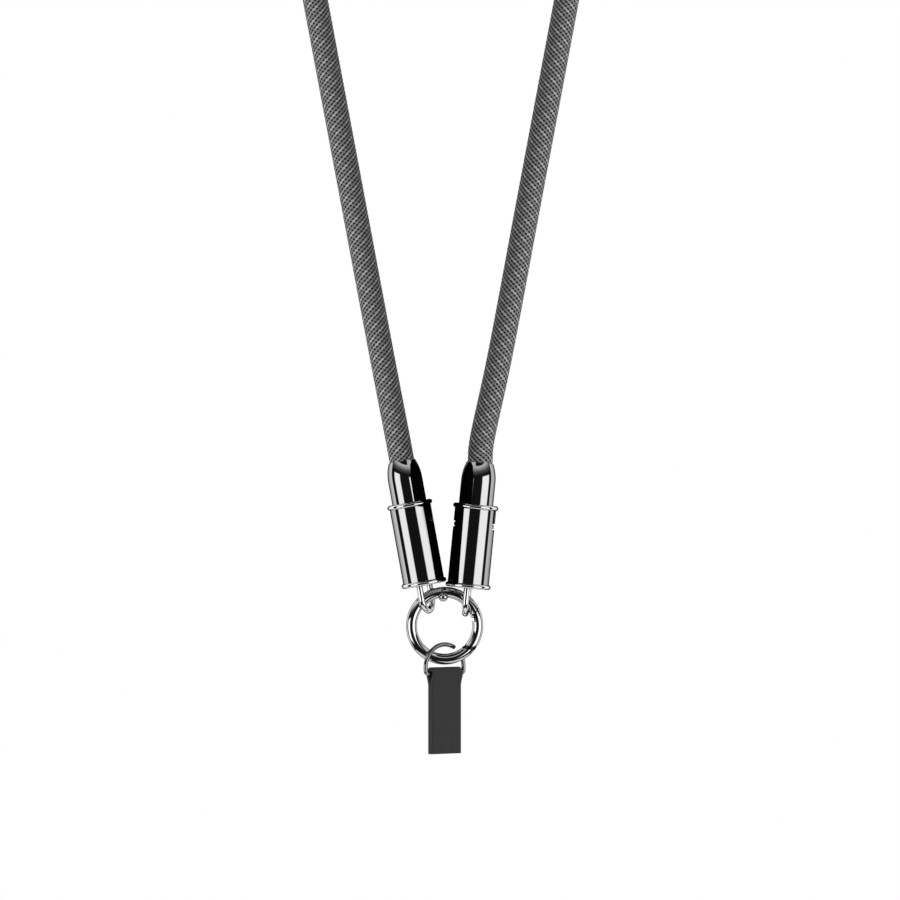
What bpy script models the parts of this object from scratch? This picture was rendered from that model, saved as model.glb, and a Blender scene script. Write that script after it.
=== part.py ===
"""Charging cable lanyard, worn round a neck.

One braided charging cable makes the neck loop. Each end is moulded into a bullet ferrule whose plug
hides in a bayonet sleeve. The loops under both sleeves hold a spring gate ring, and from that ring
hangs a small D ring with a folded strap tab.

Metres, +Z up, +X to the viewer's right, the wearer faces -Y. The origin is where the nape holds the
cord: the inner side of its highest point.
"""

import math

import bmesh
import bpy
from mathutils import Matrix, Vector

MM = 0.001
DEG = math.pi / 180

# Running gap between two pieces
GAP = 0.3 * MM

# Cord
CORD_DIAMETER = 6.8 * MM
RUN_LEAN = 10.6 * DEG
RUN_HEIGHT = 300 * MM
NECK_HALF_WIDTH = 73 * MM
NECK_DEPTH = 120 * MM
NECK_DROP = 90 * MM
CORD_STEPS = 77

# The cord's way over each shoulder, from the nape to the top of the straight run
# columns: share of the neck's half width, of its depth, of its drop
SHOULDER_ROUTE = (
    (0.36, 0.03, 0.00),
    (0.69, 0.16, 0.03),
    (0.91, 0.39, 0.11),
    (1.00, 0.67, 0.29),
    (0.99, 0.90, 0.60),
)
# Heights on the straight run that the route passes through, as shares of the run
RUN_STATIONS = (0.82, 0.62, 0.42, 0.24, 0.10)

# Bullet ferrule
BULLET_DIAMETER = 9.5 * MM
MOUTH_DIAMETER = 7.3 * MM
NOSE_HEIGHT = 5.2 * MM
BULLET_SHOWN = 12.2 * MM
EDGE_ROUND = 0.3 * MM

# Plug
PLUG_WIDTH = 8.25 * MM
PLUG_THICKNESS = 2.4 * MM
PLUG_LENGTH = 6.6 * MM
PLUG_WALL = 0.35 * MM
PLUG_DEPTH = 5.2 * MM
PLUG_CLEARANCE = 1.95 * MM

# Bayonet sleeve, measured between the middles of its two beads
SLEEVE_LENGTH = 21.8 * MM
SLEEVE_WALL = 0.65 * MM
BEAD_WIRE = 1.3 * MM
BEAD_DIAMETER = 12.5 * MM
BASE_THICKNESS = 1.2 * MM
SLOT_DROP = 5.1 * MM
SLOT_HEIGHT = 1.6 * MM
SLOT_TURN = 36 * DEG
PIN_DIAMETER = 1.0 * MM

# Loop under each sleeve
LOOP_WIRE = 1.7 * MM
LOOP_HALF_WIDTH = 3.7 * MM
LOOP_REACH = 8.55 * MM
LOOP_PLAY = 1.25 * MM

# How the two sleeves hang: each leans with its cord, and they stand a little apart in depth
LEFT_LEAN = -10.3 * DEG
RIGHT_LEAN = 5.6 * DEG
LEFT_TURN = -22 * DEG
RIGHT_TURN = -4.0 * DEG
BEAD_CLEARANCE = 0.15 * MM
SLEEVE_STAGGER = 1.6 * MM
RIGHT_DROP = 0.42 * MM

# Spring gate ring
RING_WIRE = 3.0 * MM
RING_RADIUS = 9.2 * MM
BALL_DIAMETER = 2.65 * MM
BALL_INSET = 1.2 * MM
BALL_FORWARD = 1.1 * MM
BALL_ANGLE = 94 * DEG
GATE_TOP_INNER = 13.3 * DEG
GATE_TOP_OUTER = 29.5 * DEG
GATE_FOOT_OUTER = -36.7 * DEG
KEEPER = 0.45 * MM
GATE_OPENING = 30 * DEG
HINGE_INSET = 1.3 * MM
HINGE_PIN = 0.7 * MM
HINGE_PLAY = 0.2 * MM
LUG_DIAMETER = 1.7 * MM
LUG_THICKNESS = 0.9 * MM

# Small D ring and the strap tab on its bar
D_WIRE = 1.2 * MM
D_HALF_WIDTH = 6.5 * MM
D_ARCH = 6.1 * MM
D_CORNER = 1.0 * MM
D_SHOULDER = 0.9 * MM
D_SPLIT_FROM = 40 * DEG
D_SPLIT_TO = 59 * DEG
D_TURN = 29 * DEG
D_PLAY = 0.4 * MM
STRAP_WIDTH = 10.2 * MM
STRAP_THICKNESS = 1.0 * MM
STRAP_LENGTH = 22 * MM
STRAP_STITCHED_FROM = 3.2 * MM

# Facets
ROUND_SIDES = 32
RING_STEPS = 56


def material(name, colour, roughness, metallic):
    made = bpy.data.materials.new(name)
    made.use_nodes = True
    shader = made.node_tree.nodes["Principled BSDF"]
    shader.inputs["Base Color"].default_value = (*colour, 1)
    shader.inputs["Roughness"].default_value = roughness
    shader.inputs["Metallic"].default_value = metallic
    return made


def add(name, mesh, finish, matrix=None, parent=None):
    """One named piece. The matrix is its place in the world, or under its parent."""
    obj = bpy.data.objects.new(name, mesh)
    bpy.context.scene.collection.objects.link(obj)
    if finish:
        mesh.materials.append(finish)
    mesh.shade_smooth()
    mesh.set_sharp_from_angle(angle=35 * DEG)
    obj.parent = parent
    obj.matrix_local = matrix or Matrix()
    return obj


def empty(name, matrix, parent=None):
    """The axis that a moving group turns about."""
    obj = bpy.data.objects.new(name, None)
    bpy.context.scene.collection.objects.link(obj)
    obj.parent = parent
    obj.matrix_local = matrix
    return obj


def helper(name, mesh, host):
    """A shape that a Boolean on its host uses, hidden from the render."""
    obj = bpy.data.objects.new(name, mesh)
    bpy.context.scene.collection.objects.link(obj)
    obj.parent = host
    obj.hide_render = True
    obj.display_type = "WIRE"
    return obj


def boolean(host, operation, mesh, name):
    modifier = host.modifiers.new(name, "BOOLEAN")
    modifier.operation = operation
    modifier.solver = "EXACT"
    modifier.object = helper(f"{host.name}_{name}", mesh, host)


def finish_mesh(bm, name):
    bmesh.ops.remove_doubles(bm, verts=bm.verts, dist=1e-7)
    bmesh.ops.dissolve_degenerate(bm, edges=bm.edges, dist=1e-8)
    bmesh.ops.recalc_face_normals(bm, faces=bm.faces)
    mesh = bpy.data.meshes.new(name)
    bm.to_mesh(mesh)
    bm.free()
    return mesh


def turned(name, profile, steps=ROUND_SIDES, closed=False):
    """A profile of (radius, height) points spun round Z. A closed profile makes a ring."""
    bm = bmesh.new()
    verts = [bm.verts.new((radius, 0, height)) for radius, height in profile]
    pairs = list(zip(verts, verts[1:]))
    if closed:
        pairs.append((verts[-1], verts[0]))
    edges = [bm.edges.new(pair) for pair in pairs]
    bmesh.ops.spin(bm, geom=verts + edges, axis=(0, 0, 1), cent=(0, 0, 0), angle=2 * math.pi, steps=steps)
    return finish_mesh(bm, name)


def prism(name, outline, low, high):
    """An outline of (x, z) points extruded along Y."""
    bm = bmesh.new()
    verts = [bm.verts.new((x, low, z)) for x, z in outline]
    face = bm.faces.new(verts)
    grown = bmesh.ops.extrude_face_region(bm, geom=[face])
    moved = [item for item in grown["geom"] if isinstance(item, bmesh.types.BMVert)]
    bmesh.ops.translate(bm, verts=moved, vec=(0, high - low, 0))
    return finish_mesh(bm, name)


def wire(name, points, diameter, cyclic=False, resolution=3):
    """A round wire through the points, as a mesh."""
    curve = wire_curve(name, points, diameter, cyclic, resolution)
    guide = bpy.data.objects.new(name, curve)
    bpy.context.scene.collection.objects.link(guide)
    graph = bpy.context.evaluated_depsgraph_get()
    mesh = bpy.data.meshes.new_from_object(guide.evaluated_get(graph))
    bpy.data.objects.remove(guide)
    bm = bmesh.new()
    bm.from_mesh(mesh)
    return finish_mesh(bm, name)


def wire_curve(name, points, diameter, cyclic=False, resolution=3):
    curve = bpy.data.curves.new(name, "CURVE")
    curve.dimensions = "3D"
    curve.bevel_depth = diameter / 2
    curve.bevel_resolution = resolution
    curve.use_fill_caps = True
    spline = curve.splines.new("POLY")
    spline.points.add(len(points) - 1)
    spline.use_cyclic_u = cyclic
    for point, place in zip(spline.points, points):
        point.co = (*place, 1)
    return curve


def arc(centre, radius, start, end, steps):
    """Points (a, b) on an arc, both ends included."""
    for step in range(steps + 1):
        angle = start + (end - start) * step / steps
        yield (centre[0] + radius * math.cos(angle), centre[1] + radius * math.sin(angle))


def polar(radius, angle):
    return Vector((radius * math.cos(angle), radius * math.sin(angle)))


# Places that follow from the sizes

SLEEVE_DIAMETER = BULLET_DIAMETER + 2 * (GAP + SLEEVE_WALL)
AXIS_LENGTH = BULLET_SHOWN + SLEEVE_LENGTH
SLEEVE_FLOOR = BASE_THICKNESS - BEAD_WIRE / 2
PLUG_TOP = SLEEVE_FLOOR + PLUG_CLEARANCE + PLUG_LENGTH
BULLET_HIDDEN = SLEEVE_LENGTH - PLUG_TOP - GAP
BASE_SPACING = (BEAD_DIAMETER + SLEEVE_DIAMETER) / 2 + BEAD_CLEARANCE
CORD_TOP = Vector((0, CORD_DIAMETER / 2, 0))
MOUTH_HEIGHT = -(NECK_DROP + RUN_HEIGHT)
FRONT = CORD_TOP.y - NECK_DEPTH


def sleeve_base(side):
    """Middle of the lower bead. The two mouths above come out level and even about X = 0."""
    lean = LEFT_LEAN if side < 0 else RIGHT_LEAN
    shift = -AXIS_LENGTH * (math.sin(LEFT_LEAN) + math.sin(RIGHT_LEAN)) / 2
    drop = RIGHT_DROP if side > 0 else 0
    return Vector(
        (
            side * BASE_SPACING / 2 + shift,
            FRONT + side * SLEEVE_STAGGER / 2,
            MOUTH_HEIGHT - AXIS_LENGTH * math.cos(lean) - drop,
        )
    )


def sleeve_frame(side):
    """Local +Z runs up the sleeve's axis, local Y along the loop's width."""
    lean, turn = (LEFT_LEAN, LEFT_TURN) if side < 0 else (RIGHT_LEAN, RIGHT_TURN)
    place = Matrix.Translation(sleeve_base(side))
    return place @ Matrix.Rotation(lean, 4, "Y") @ Matrix.Rotation(turn, 4, "Z")


def loop_crossing(side):
    """Where the ring's wire passes through the loop."""
    depth = LOOP_REACH - LOOP_WIRE - LOOP_PLAY - RING_WIRE / 2
    return sleeve_frame(side) @ Vector((0, 0, -depth))


def swing_frame():
    """Origin midway between the two crossings, X along the line through them."""
    left, right = loop_crossing(-1), loop_crossing(1)
    along = (right - left).normalized()
    back = Vector((0, 0, 1)).cross(along).normalized()
    up = along.cross(back)
    frame = Matrix((along, back, up)).transposed().to_4x4()
    frame.translation = (left + right) / 2
    return frame


def ring_centre():
    """The ring's centre in the swing frame."""
    half = (loop_crossing(1) - loop_crossing(-1)).length / 2
    return Vector((0, 0, -math.sqrt(RING_RADIUS**2 - half**2)))


def ring_frame():
    """The ring's own frame in the world: its middle, the ring in the XZ plane."""
    swing = swing_frame()
    tilt = math.atan2(swing.col[0][2], math.hypot(swing.col[0][0], swing.col[0][1]))
    level = Matrix.Rotation(tilt, 4, "Y")
    return swing @ Matrix.Translation(ring_centre()) @ level


def hinge_place():
    """The gate's pivot in the ring's frame, on the line of the upper seam, as (x, z)."""
    inner = polar(RING_RADIUS - RING_WIRE / 2, GATE_TOP_INNER)
    outer = polar(RING_RADIUS + RING_WIRE / 2, GATE_TOP_OUTER)
    return inner + (outer - inner).normalized() * HINGE_INSET


def seam_direction():
    inner = polar(RING_RADIUS - RING_WIRE / 2, GATE_TOP_INNER)
    outer = polar(RING_RADIUS + RING_WIRE / 2, GATE_TOP_OUTER)
    return (outer - inner).normalized()


# Cord


def smooth_route(places, count):
    """Evenly spaced points on a smooth curve through the places."""
    fine = []
    ends = [2 * places[0] - places[1], *places, 2 * places[-1] - places[-2]]
    for before, start, end, after in zip(ends, ends[1:], ends[2:], ends[3:]):
        first = (end - before) / 2
        last = (after - start) / 2
        for step in range(24):
            t = step / 24
            fine.append(
                start * (2 * t**3 - 3 * t**2 + 1)
                + first * (t**3 - 2 * t**2 + t)
                + end * (3 * t**2 - 2 * t**3)
                + last * (t**3 - t**2)
            )
    fine.append(places[-1])
    reach = [0]
    for start, end in zip(fine, fine[1:]):
        reach.append(reach[-1] + (end - start).length)
    points = []
    at = 0
    for number in range(count):
        target = reach[-1] * number / (count - 1)
        while at < len(fine) - 2 and reach[at + 1] < target:
            at += 1
        share = (target - reach[at]) / (reach[at + 1] - reach[at])
        points.append(fine[at].lerp(fine[at + 1], share))
    return points


def half_route(side):
    """From the nape's middle, left out, to the mouth of one bullet."""
    base = sleeve_base(side)
    axis = sleeve_frame(side).col[2].to_3d().normalized()
    mouth = base + axis * (AXIS_LENGTH + 1.5 * GAP)
    run_top = abs(mouth.x) + RUN_HEIGHT * math.tan(RUN_LEAN)
    places = [
        Vector((side * width * NECK_HALF_WIDTH, CORD_TOP.y - depth * NECK_DEPTH, -drop * NECK_DROP))
        for width, depth, drop in SHOULDER_ROUTE
    ]
    places.append(Vector((side * run_top, FRONT, -NECK_DROP)))
    for share in RUN_STATIONS:
        height = share * RUN_HEIGHT
        across = abs(mouth.x) + height * math.tan(RUN_LEAN)
        places.append(Vector((side * across, FRONT, MOUTH_HEIGHT + height)))
    places.append(mouth + axis * CORD_DIAMETER)
    places.append(mouth)
    return places


def cord_points():
    left = half_route(-1)
    return smooth_route([*reversed(left), CORD_TOP, *half_route(1)], CORD_STEPS)


def build_cord(finish):
    curve = wire_curve("cord", cord_points(), CORD_DIAMETER, resolution=3)
    obj = bpy.data.objects.new("cord", curve)
    bpy.context.scene.collection.objects.link(obj)
    curve.materials.append(finish)


# Bullet, plug and sleeve


def bullet_profile():
    """Closed nose, then the barrel down to its flat end, as (radius, height) from the mouth."""
    mouth, barrel = MOUTH_DIAMETER / 2, BULLET_DIAMETER / 2
    rise = barrel - mouth
    ogive = (NOSE_HEIGHT**2 + rise**2) / (2 * rise)
    sweep = math.asin(NOSE_HEIGHT / ogive)
    profile = [(0, 0)]
    profile += [(r, z) for r, z in arc((barrel - ogive, -NOSE_HEIGHT), ogive, sweep, 0, 7)]
    bottom = -(BULLET_SHOWN + BULLET_HIDDEN)
    profile.append((barrel, bottom + EDGE_ROUND))
    profile.append((barrel - EDGE_ROUND, bottom))
    profile.append((0, bottom))
    return profile


def pin_reach():
    """From the axis to a bayonet pin's end, just inside the sleeve's outer face."""
    return SLEEVE_DIAMETER / 2 - PIN_DIAMETER / 10


def build_bullet(side, name, metal):
    bullet = add(f"{name}_bullet", turned("bullet", bullet_profile()), metal)
    bullet.matrix_world = sleeve_frame(side) @ Matrix.Translation((0, 0, AXIS_LENGTH))
    height = -(BULLET_SHOWN + SLOT_DROP)
    for number in range(2):
        angle = SLOT_TURN / 2 + number * math.pi
        way = Vector((math.cos(angle), math.sin(angle), 0))
        start, end = way * BULLET_DIAMETER / 4, way * pin_reach()
        lift = Vector((0, 0, height))
        pin = wire(f"pin_{number}", [start + lift, end + lift], PIN_DIAMETER)
        boolean(bullet, "UNION", pin, f"pin_{number}")
    return bullet


def stadium(width, thickness, steps=6):
    """A flat outline with round ends, in X and Y."""
    radius = thickness / 2
    reach = width / 2 - radius
    right = list(arc((reach, 0), radius, -math.pi / 2, math.pi / 2, steps))
    left = list(arc((-reach, 0), radius, math.pi / 2, 3 * math.pi / 2, steps))
    return right + left


def build_plug(side, name, metal):
    """A plain plug shell, hollow from its tip."""
    outer = stadium(PLUG_WIDTH, PLUG_THICKNESS)
    inner = stadium(PLUG_WIDTH - 2 * PLUG_WALL, PLUG_THICKNESS - 2 * PLUG_WALL)
    depth = PLUG_DEPTH - PLUG_LENGTH
    levels = ((outer, 0), (outer, -PLUG_LENGTH), (inner, -PLUG_LENGTH), (inner, depth))
    bm = bmesh.new()
    rings = [[bm.verts.new((x, y, z)) for x, y in outline] for outline, z in levels]
    for upper, lower in zip(rings, rings[1:]):
        for here in range(len(upper)):
            there = (here + 1) % len(upper)
            bm.faces.new((upper[here], upper[there], lower[there], lower[here]))
    bm.faces.new(rings[0])
    bm.faces.new(rings[-1])
    plug = add(f"{name}_plug", finish_mesh(bm, "plug"), metal)
    plug.matrix_world = sleeve_frame(side) @ Matrix.Translation((0, 0, PLUG_TOP))


def sleeve_profile():
    """Base, lower bead, wall, upper bead and bore, as (radius, height) from the lower bead."""
    wall = SLEEVE_DIAMETER / 2
    bore = wall - SLEEVE_WALL
    bead = BEAD_WIRE / 2
    ring = BEAD_DIAMETER / 2 - bead
    meet = math.acos((wall - ring) / bead)
    profile = [(0, -bead)]
    profile += [(r, z) for r, z in arc((ring, 0), bead, -math.pi / 2, meet, 7)]
    profile += [(r, z) for r, z in arc((ring, SLEEVE_LENGTH), bead, -meet, math.pi / 2, 7)]
    profile.append((bore + EDGE_ROUND, SLEEVE_LENGTH + bead))
    profile.append((bore, SLEEVE_LENGTH + bead - EDGE_ROUND))
    profile.append((bore, SLEEVE_FLOOR))
    profile.append((0, SLEEVE_FLOOR))
    return profile


def loop_points():
    """A U in the YZ plane with its two ends inside the sleeve's base."""
    bend = LOOP_REACH - LOOP_WIRE / 2 - LOOP_HALF_WIDTH
    points = [Vector((0, LOOP_HALF_WIDTH, 0))]
    points += [Vector((0, y, z)) for y, z in arc((0, -bend), LOOP_HALF_WIDTH, 0, -math.pi, 10)]
    points.append(Vector((0, -LOOP_HALF_WIDTH, 0)))
    return points


def slot_wedge(start, end, low, high, inner):
    """A sector of a ring, cut right through the wall from the inner radius out."""
    outer = BEAD_DIAMETER
    steps = 4
    outline = list(arc((0, 0), inner, start, end, steps))
    outline += reversed(list(arc((0, 0), outer, start, end, steps)))
    bm = bmesh.new()
    face = bm.faces.new([bm.verts.new((x, y, low)) for x, y in outline])
    grown = bmesh.ops.extrude_face_region(bm, geom=[face])
    moved = [item for item in grown["geom"] if isinstance(item, bmesh.types.BMVert)]
    bmesh.ops.translate(bm, verts=moved, vec=(0, 0, high - low))
    return finish_mesh(bm, "slot")


def build_sleeve(side, name, metal):
    """Hollow sleeve with its loop and two L slots, each cut through the wall under the upper bead."""
    sleeve = add(f"{name}_sleeve", turned("sleeve", sleeve_profile()), metal)
    sleeve.matrix_world = sleeve_frame(side)
    boolean(sleeve, "UNION", wire("loop", loop_points(), LOOP_WIRE, resolution=3), "loop")
    wall = SLEEVE_DIAMETER / 2
    room = PIN_DIAMETER / 2 + GAP
    spread = room / wall
    middle = SLEEVE_LENGTH - SLOT_DROP
    under_bead = SLEEVE_LENGTH - BEAD_WIRE / 2
    half_turn = SLOT_TURN / 2
    for number in range(2):
        facing = number * math.pi
        first, last = facing - half_turn, facing + half_turn
        low, high = middle - SLOT_HEIGHT / 2, middle + SLOT_HEIGHT / 2
        level = slot_wedge(first - spread, last + spread, low, high, wall / 2)
        boolean(sleeve, "DIFFERENCE", level, f"level_slot_{number}")
        entry = slot_wedge(first - spread, first + spread, middle, under_bead, wall / 2)
        boolean(sleeve, "DIFFERENCE", entry, f"entry_slot_{number}")
        keyway_low = under_bead - EDGE_ROUND
        keyway = keyway_mesh(first, spread, keyway_low, SLEEVE_LENGTH + BEAD_WIRE)
        boolean(sleeve, "DIFFERENCE", keyway, f"keyway_{number}")
    return sleeve


def keyway_mesh(angle, spread, low, high):
    """The groove inside the upper bead that lets a pin in without breaking the bead's outer face."""
    inner = SLEEVE_DIAMETER / 4
    outer = pin_reach() + GAP / 2
    outline = [
        *arc((0, 0), inner, angle - spread, angle + spread, 2),
        *reversed(list(arc((0, 0), outer, angle - spread, angle + spread, 2))),
    ]
    bm = bmesh.new()
    face = bm.faces.new([bm.verts.new((x, y, low)) for x, y in outline])
    grown = bmesh.ops.extrude_face_region(bm, geom=[face])
    moved = [item for item in grown["geom"] if isinstance(item, bmesh.types.BMVert)]
    bmesh.ops.translate(bm, verts=moved, vec=(0, 0, high - low))
    return finish_mesh(bm, "keyway")


# Ring and gate


def torus(name):
    profile = [(r, z) for r, z in arc((RING_RADIUS, 0), RING_WIRE / 2, 0, 2 * math.pi, 14)][:-1]
    mesh = turned(name, profile, RING_STEPS, closed=True)
    mesh.transform(Matrix.Rotation(math.pi / 2, 4, "X"))
    return mesh


def y_rod(name, place, diameter, length, steps=16):
    outline = [tuple(p) for p in arc(place, diameter / 2, 0, 2 * math.pi, steps)][:-1]
    return prism(name, outline, -length / 2, length / 2)


def gate_reach():
    """From the pivot to the gate's farthest corner."""
    return (polar(RING_RADIUS + RING_WIRE / 2, GATE_FOOT_OUTER) - hinge_place()).length


def foot_arc(reach, steps=10):
    """A curve about the pivot, across the wire at the gate's foot, so that the gate swings along it."""
    return [Vector(point) for point in arc(hinge_place(), reach, -60 * DEG, -125 * DEG, steps)]


def outer_corners():
    """Two points well outside the gate."""
    far = RING_RADIUS + 2 * RING_WIRE
    return [polar(far, GATE_TOP_INNER), polar(far, (GATE_TOP_INNER + GATE_FOOT_OUTER) / 2)]


def gate_outline():
    """The part of the wire that moves, in the ring's plane. A notch leaves room for the ring's lip."""
    along = seam_direction()
    away = Vector((along.y, -along.x))
    pivot = hinge_place() + away * GAP / 2
    notch = HINGE_INSET + 2 * GAP
    below = Matrix.Rotation(GATE_OPENING + 5 * DEG, 2) @ -along
    inside = Matrix.Rotation(-20 * DEG, 2) @ -along
    return [
        pivot + inside * notch,
        pivot + below * notch,
        pivot,
        pivot + along * 2 * RING_WIRE,
        *outer_corners(),
        *foot_arc(gate_reach()),
    ]


def gap_outline():
    """What is cut from the ring: the gate's place, down to the tongue that keeps its foot in line."""
    along = seam_direction()
    away = Vector((along.y, -along.x))
    pivot = hinge_place() - away * GAP / 2
    return [
        pivot - along * 2 * HINGE_INSET,
        pivot + along * 2 * RING_WIRE,
        *outer_corners(),
        *foot_arc(gate_reach() - KEEPER),
    ]


def foot_band(name, inner, outer, low, high):
    """A curved bar about the pivot, from one reach to another, between two depths."""
    outline = foot_arc(inner) + foot_arc(outer)[::-1]
    return prism(name, outline, low, high)


def build_ring(metal, axis):
    ring = add("o_ring", torus("o_ring"), metal, parent=axis)
    ring.matrix_world = ring_frame()
    wide = 2 * RING_WIRE
    boolean(ring, "DIFFERENCE", prism("gap", gap_outline(), -wide, wide), "gate_gap")
    thin = LUG_THICKNESS / 2
    foot = (gate_reach() - KEEPER - GAP, gate_reach() + GAP)
    boolean(ring, "DIFFERENCE", foot_band("front", *foot, -wide, -thin), "front_of_keeper")
    boolean(ring, "DIFFERENCE", foot_band("back", *foot, thin, wide), "back_of_keeper")
    boolean(ring, "UNION", y_rod("lug", hinge_place(), LUG_DIAMETER, LUG_THICKNESS), "lug")
    hole = HINGE_PIN + 2 * HINGE_PLAY
    boolean(ring, "DIFFERENCE", y_rod("hole", hinge_place(), hole, wide), "hinge_hole")
    half_circle = list(arc((0, 0), BALL_DIAMETER / 2, -math.pi / 2, math.pi / 2, 8))
    ball = turned("ball", half_circle, 16)
    place = polar(RING_RADIUS - BALL_INSET, BALL_ANGLE)
    ball.transform(Matrix.Translation((place.x, -BALL_FORWARD, place.y)))
    boolean(ring, "UNION", ball, "ball")
    return ring


def build_gate(metal, axis):
    pivot = hinge_place()
    centred = Matrix.Translation((-pivot.x, 0, -pivot.y))
    gate = add("ring_gate", torus("gate"), metal, parent=axis)
    gate.data.transform(centred)
    gate.matrix_world = ring_frame() @ centred.inverted()
    wide = 2 * RING_WIRE
    room = LUG_THICKNESS / 2 + GAP
    lug_room = y_rod("slot", pivot, LUG_DIAMETER + 2 * GAP, LUG_THICKNESS + 2 * GAP)
    foot = (gate_reach() - KEEPER - GAP, gate_reach() + GAP)
    pieces = (
        ("INTERSECT", prism("moving", gate_outline(), -wide, wide), "outline"),
        ("DIFFERENCE", foot_band("keeper_room", *foot, -room, room), "keeper_slot"),
        ("DIFFERENCE", lug_room, "lug_slot"),
        ("UNION", y_rod("pin", pivot, HINGE_PIN, LUG_THICKNESS + 4 * GAP), "hinge_pin"),
    )
    for operation, mesh, name in pieces:
        mesh.transform(centred)
        boolean(gate, operation, mesh, name)
    return gate


# D ring and strap tab


def tab_frame():
    """Origin in the middle of the O ring's lowest wire, X along that wire."""
    return ring_frame() @ Matrix.Translation((0, 0, -RING_RADIUS))


def d_arc(start, end, steps):
    """Points (across, up) on the D's arch, an ellipse."""
    for across, up in arc((0, 0), 1, start, end, steps):
        yield (D_HALF_WIDTH * across, D_ARCH * up)


def d_clearance(height):
    """Least distance between the D's arch and the middle of the ring's wire."""
    found = []
    for across, up in d_arc(0, math.pi, 60):
        x, y = across * math.cos(D_TURN), across * math.sin(D_TURN)
        reach = math.hypot(x, height + up - RING_RADIUS)
        found.append(math.hypot(reach - RING_RADIUS, y))
    return min(found)


def d_seat():
    """Height of the D's middle over the ring's lowest wire, where its arch rests clear all along."""
    clear = (RING_WIRE + D_WIRE) / 2 + D_PLAY
    height = clear - D_ARCH
    while d_clearance(height) < clear:
        height += GAP / 20
    return height


def d_frame():
    """The D ring's frame in the world: the middle of its arch, the D in the XZ plane."""
    return tab_frame() @ Matrix.Translation((0, 0, d_seat())) @ Matrix.Rotation(D_TURN, 4, "Z")


def d_points():
    """One wire from the split down round the bar and back over the arch."""
    reach = D_HALF_WIDTH - D_CORNER
    points = list(d_arc(D_SPLIT_FROM, 0, 6))
    points += arc((reach, -D_SHOULDER), D_CORNER, 0, -math.pi / 2, 5)
    points += arc((-reach, -D_SHOULDER), D_CORNER, 1.5 * math.pi, math.pi, 5)
    points += d_arc(math.pi, D_SPLIT_TO, 14)
    kept = [points[0]]
    kept += [there for here, there in zip(points, points[1:]) if math.dist(here, there) > GAP / 10]
    return [Vector((x, 0, z)) for x, z in kept]


def strap_outline():
    """Section through the folded strap, as (depth, height) from the bar's middle."""
    inner = D_WIRE / 2 + GAP
    outer = inner + STRAP_THICKNESS
    half = STRAP_THICKNESS
    body = [(y, z) for y, z in arc((0, 0), outer, 0, math.pi, 12)]
    hole = [(y, z) for y, z in arc((0, 0), inner, 0, math.pi, 10)]
    closing = -STRAP_STITCHED_FROM
    body += [(-half, closing), (-half, -STRAP_LENGTH), (half, -STRAP_LENGTH), (half, closing)]
    hole += [(0, closing)]
    return body, hole


def build_strap(finish, axis):
    body, hole = strap_outline()
    strap = add("strap_tab", side_prism("strap", body, STRAP_WIDTH), finish, parent=axis)
    bar = Matrix.Translation((0, 0, -(D_SHOULDER + D_CORNER)))
    strap.matrix_world = d_frame() @ bar
    boolean(strap, "DIFFERENCE", side_prism("fold", hole, 2 * STRAP_WIDTH), "fold")


def side_prism(name, outline, width):
    """An outline of (y, z) points extruded along X."""
    mesh = prism(name, outline, -width / 2, width / 2)
    mesh.transform(Matrix.Rotation(-math.pi / 2, 4, "Z"))
    return mesh


def build():
    metal = material("gunmetal_chrome", (0.30, 0.31, 0.33), 0.08, 1)
    steel = material("plug_steel", (0.70, 0.70, 0.72), 0.25, 1)
    braid = material("grey_braid", (0.09, 0.09, 0.09), 0.75, 0)
    webbing = material("charcoal_strap", (0.035, 0.035, 0.037), 0.7, 0)
    build_cord(braid)
    for side, name in ((-1, "left"), (1, "right")):
        build_bullet(side, name, metal)
        build_plug(side, name, steel)
        build_sleeve(side, name, metal)
    swing = empty("ring_axis", swing_frame())
    bpy.context.view_layer.update()
    build_ring(metal, swing)
    build_gate(metal, swing)
    tab = empty("tab_axis", tab_frame())
    bpy.context.view_layer.update()
    d_ring = add("d_ring", wire("d_ring", d_points(), D_WIRE, resolution=2), metal, parent=tab)
    d_ring.matrix_world = d_frame()
    build_strap(webbing, tab)


def main():
    for obj in list(bpy.data.objects):
        bpy.data.objects.remove(obj)
    build()


main()
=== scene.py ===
"""Dresses the charging cable lanyard: braided cable, bright fittings and a strap tab, in a studio."""

import math

import bmesh
import bpy
from bpy.props import FloatProperty, FloatVectorProperty, IntProperty, PointerProperty
from mathutils import Matrix, Vector


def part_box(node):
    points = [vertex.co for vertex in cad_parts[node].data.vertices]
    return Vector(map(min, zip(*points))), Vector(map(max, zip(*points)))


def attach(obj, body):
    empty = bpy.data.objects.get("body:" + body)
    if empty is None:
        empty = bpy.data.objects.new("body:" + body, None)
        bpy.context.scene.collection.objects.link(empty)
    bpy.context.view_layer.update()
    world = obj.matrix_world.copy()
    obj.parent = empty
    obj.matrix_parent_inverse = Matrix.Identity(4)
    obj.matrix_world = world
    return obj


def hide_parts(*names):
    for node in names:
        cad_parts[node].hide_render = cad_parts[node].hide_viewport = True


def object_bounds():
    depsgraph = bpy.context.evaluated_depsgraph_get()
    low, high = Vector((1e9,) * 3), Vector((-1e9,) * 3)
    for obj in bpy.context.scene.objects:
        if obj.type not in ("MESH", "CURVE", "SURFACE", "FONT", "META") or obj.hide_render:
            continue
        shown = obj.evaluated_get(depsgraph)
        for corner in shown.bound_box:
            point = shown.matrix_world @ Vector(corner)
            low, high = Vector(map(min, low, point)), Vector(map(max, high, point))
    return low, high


bl_info = {
    "name": "Charging cable lanyard",
    "version": (1, 0, 0),
    "blender": (4, 5, 0),
    "location": "View3D > Sidebar > Lanyard",
    "description": "Makes the braided cable, metal fittings and strap tab of a charging cable lanyard",
    "category": "Object",
}

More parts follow.
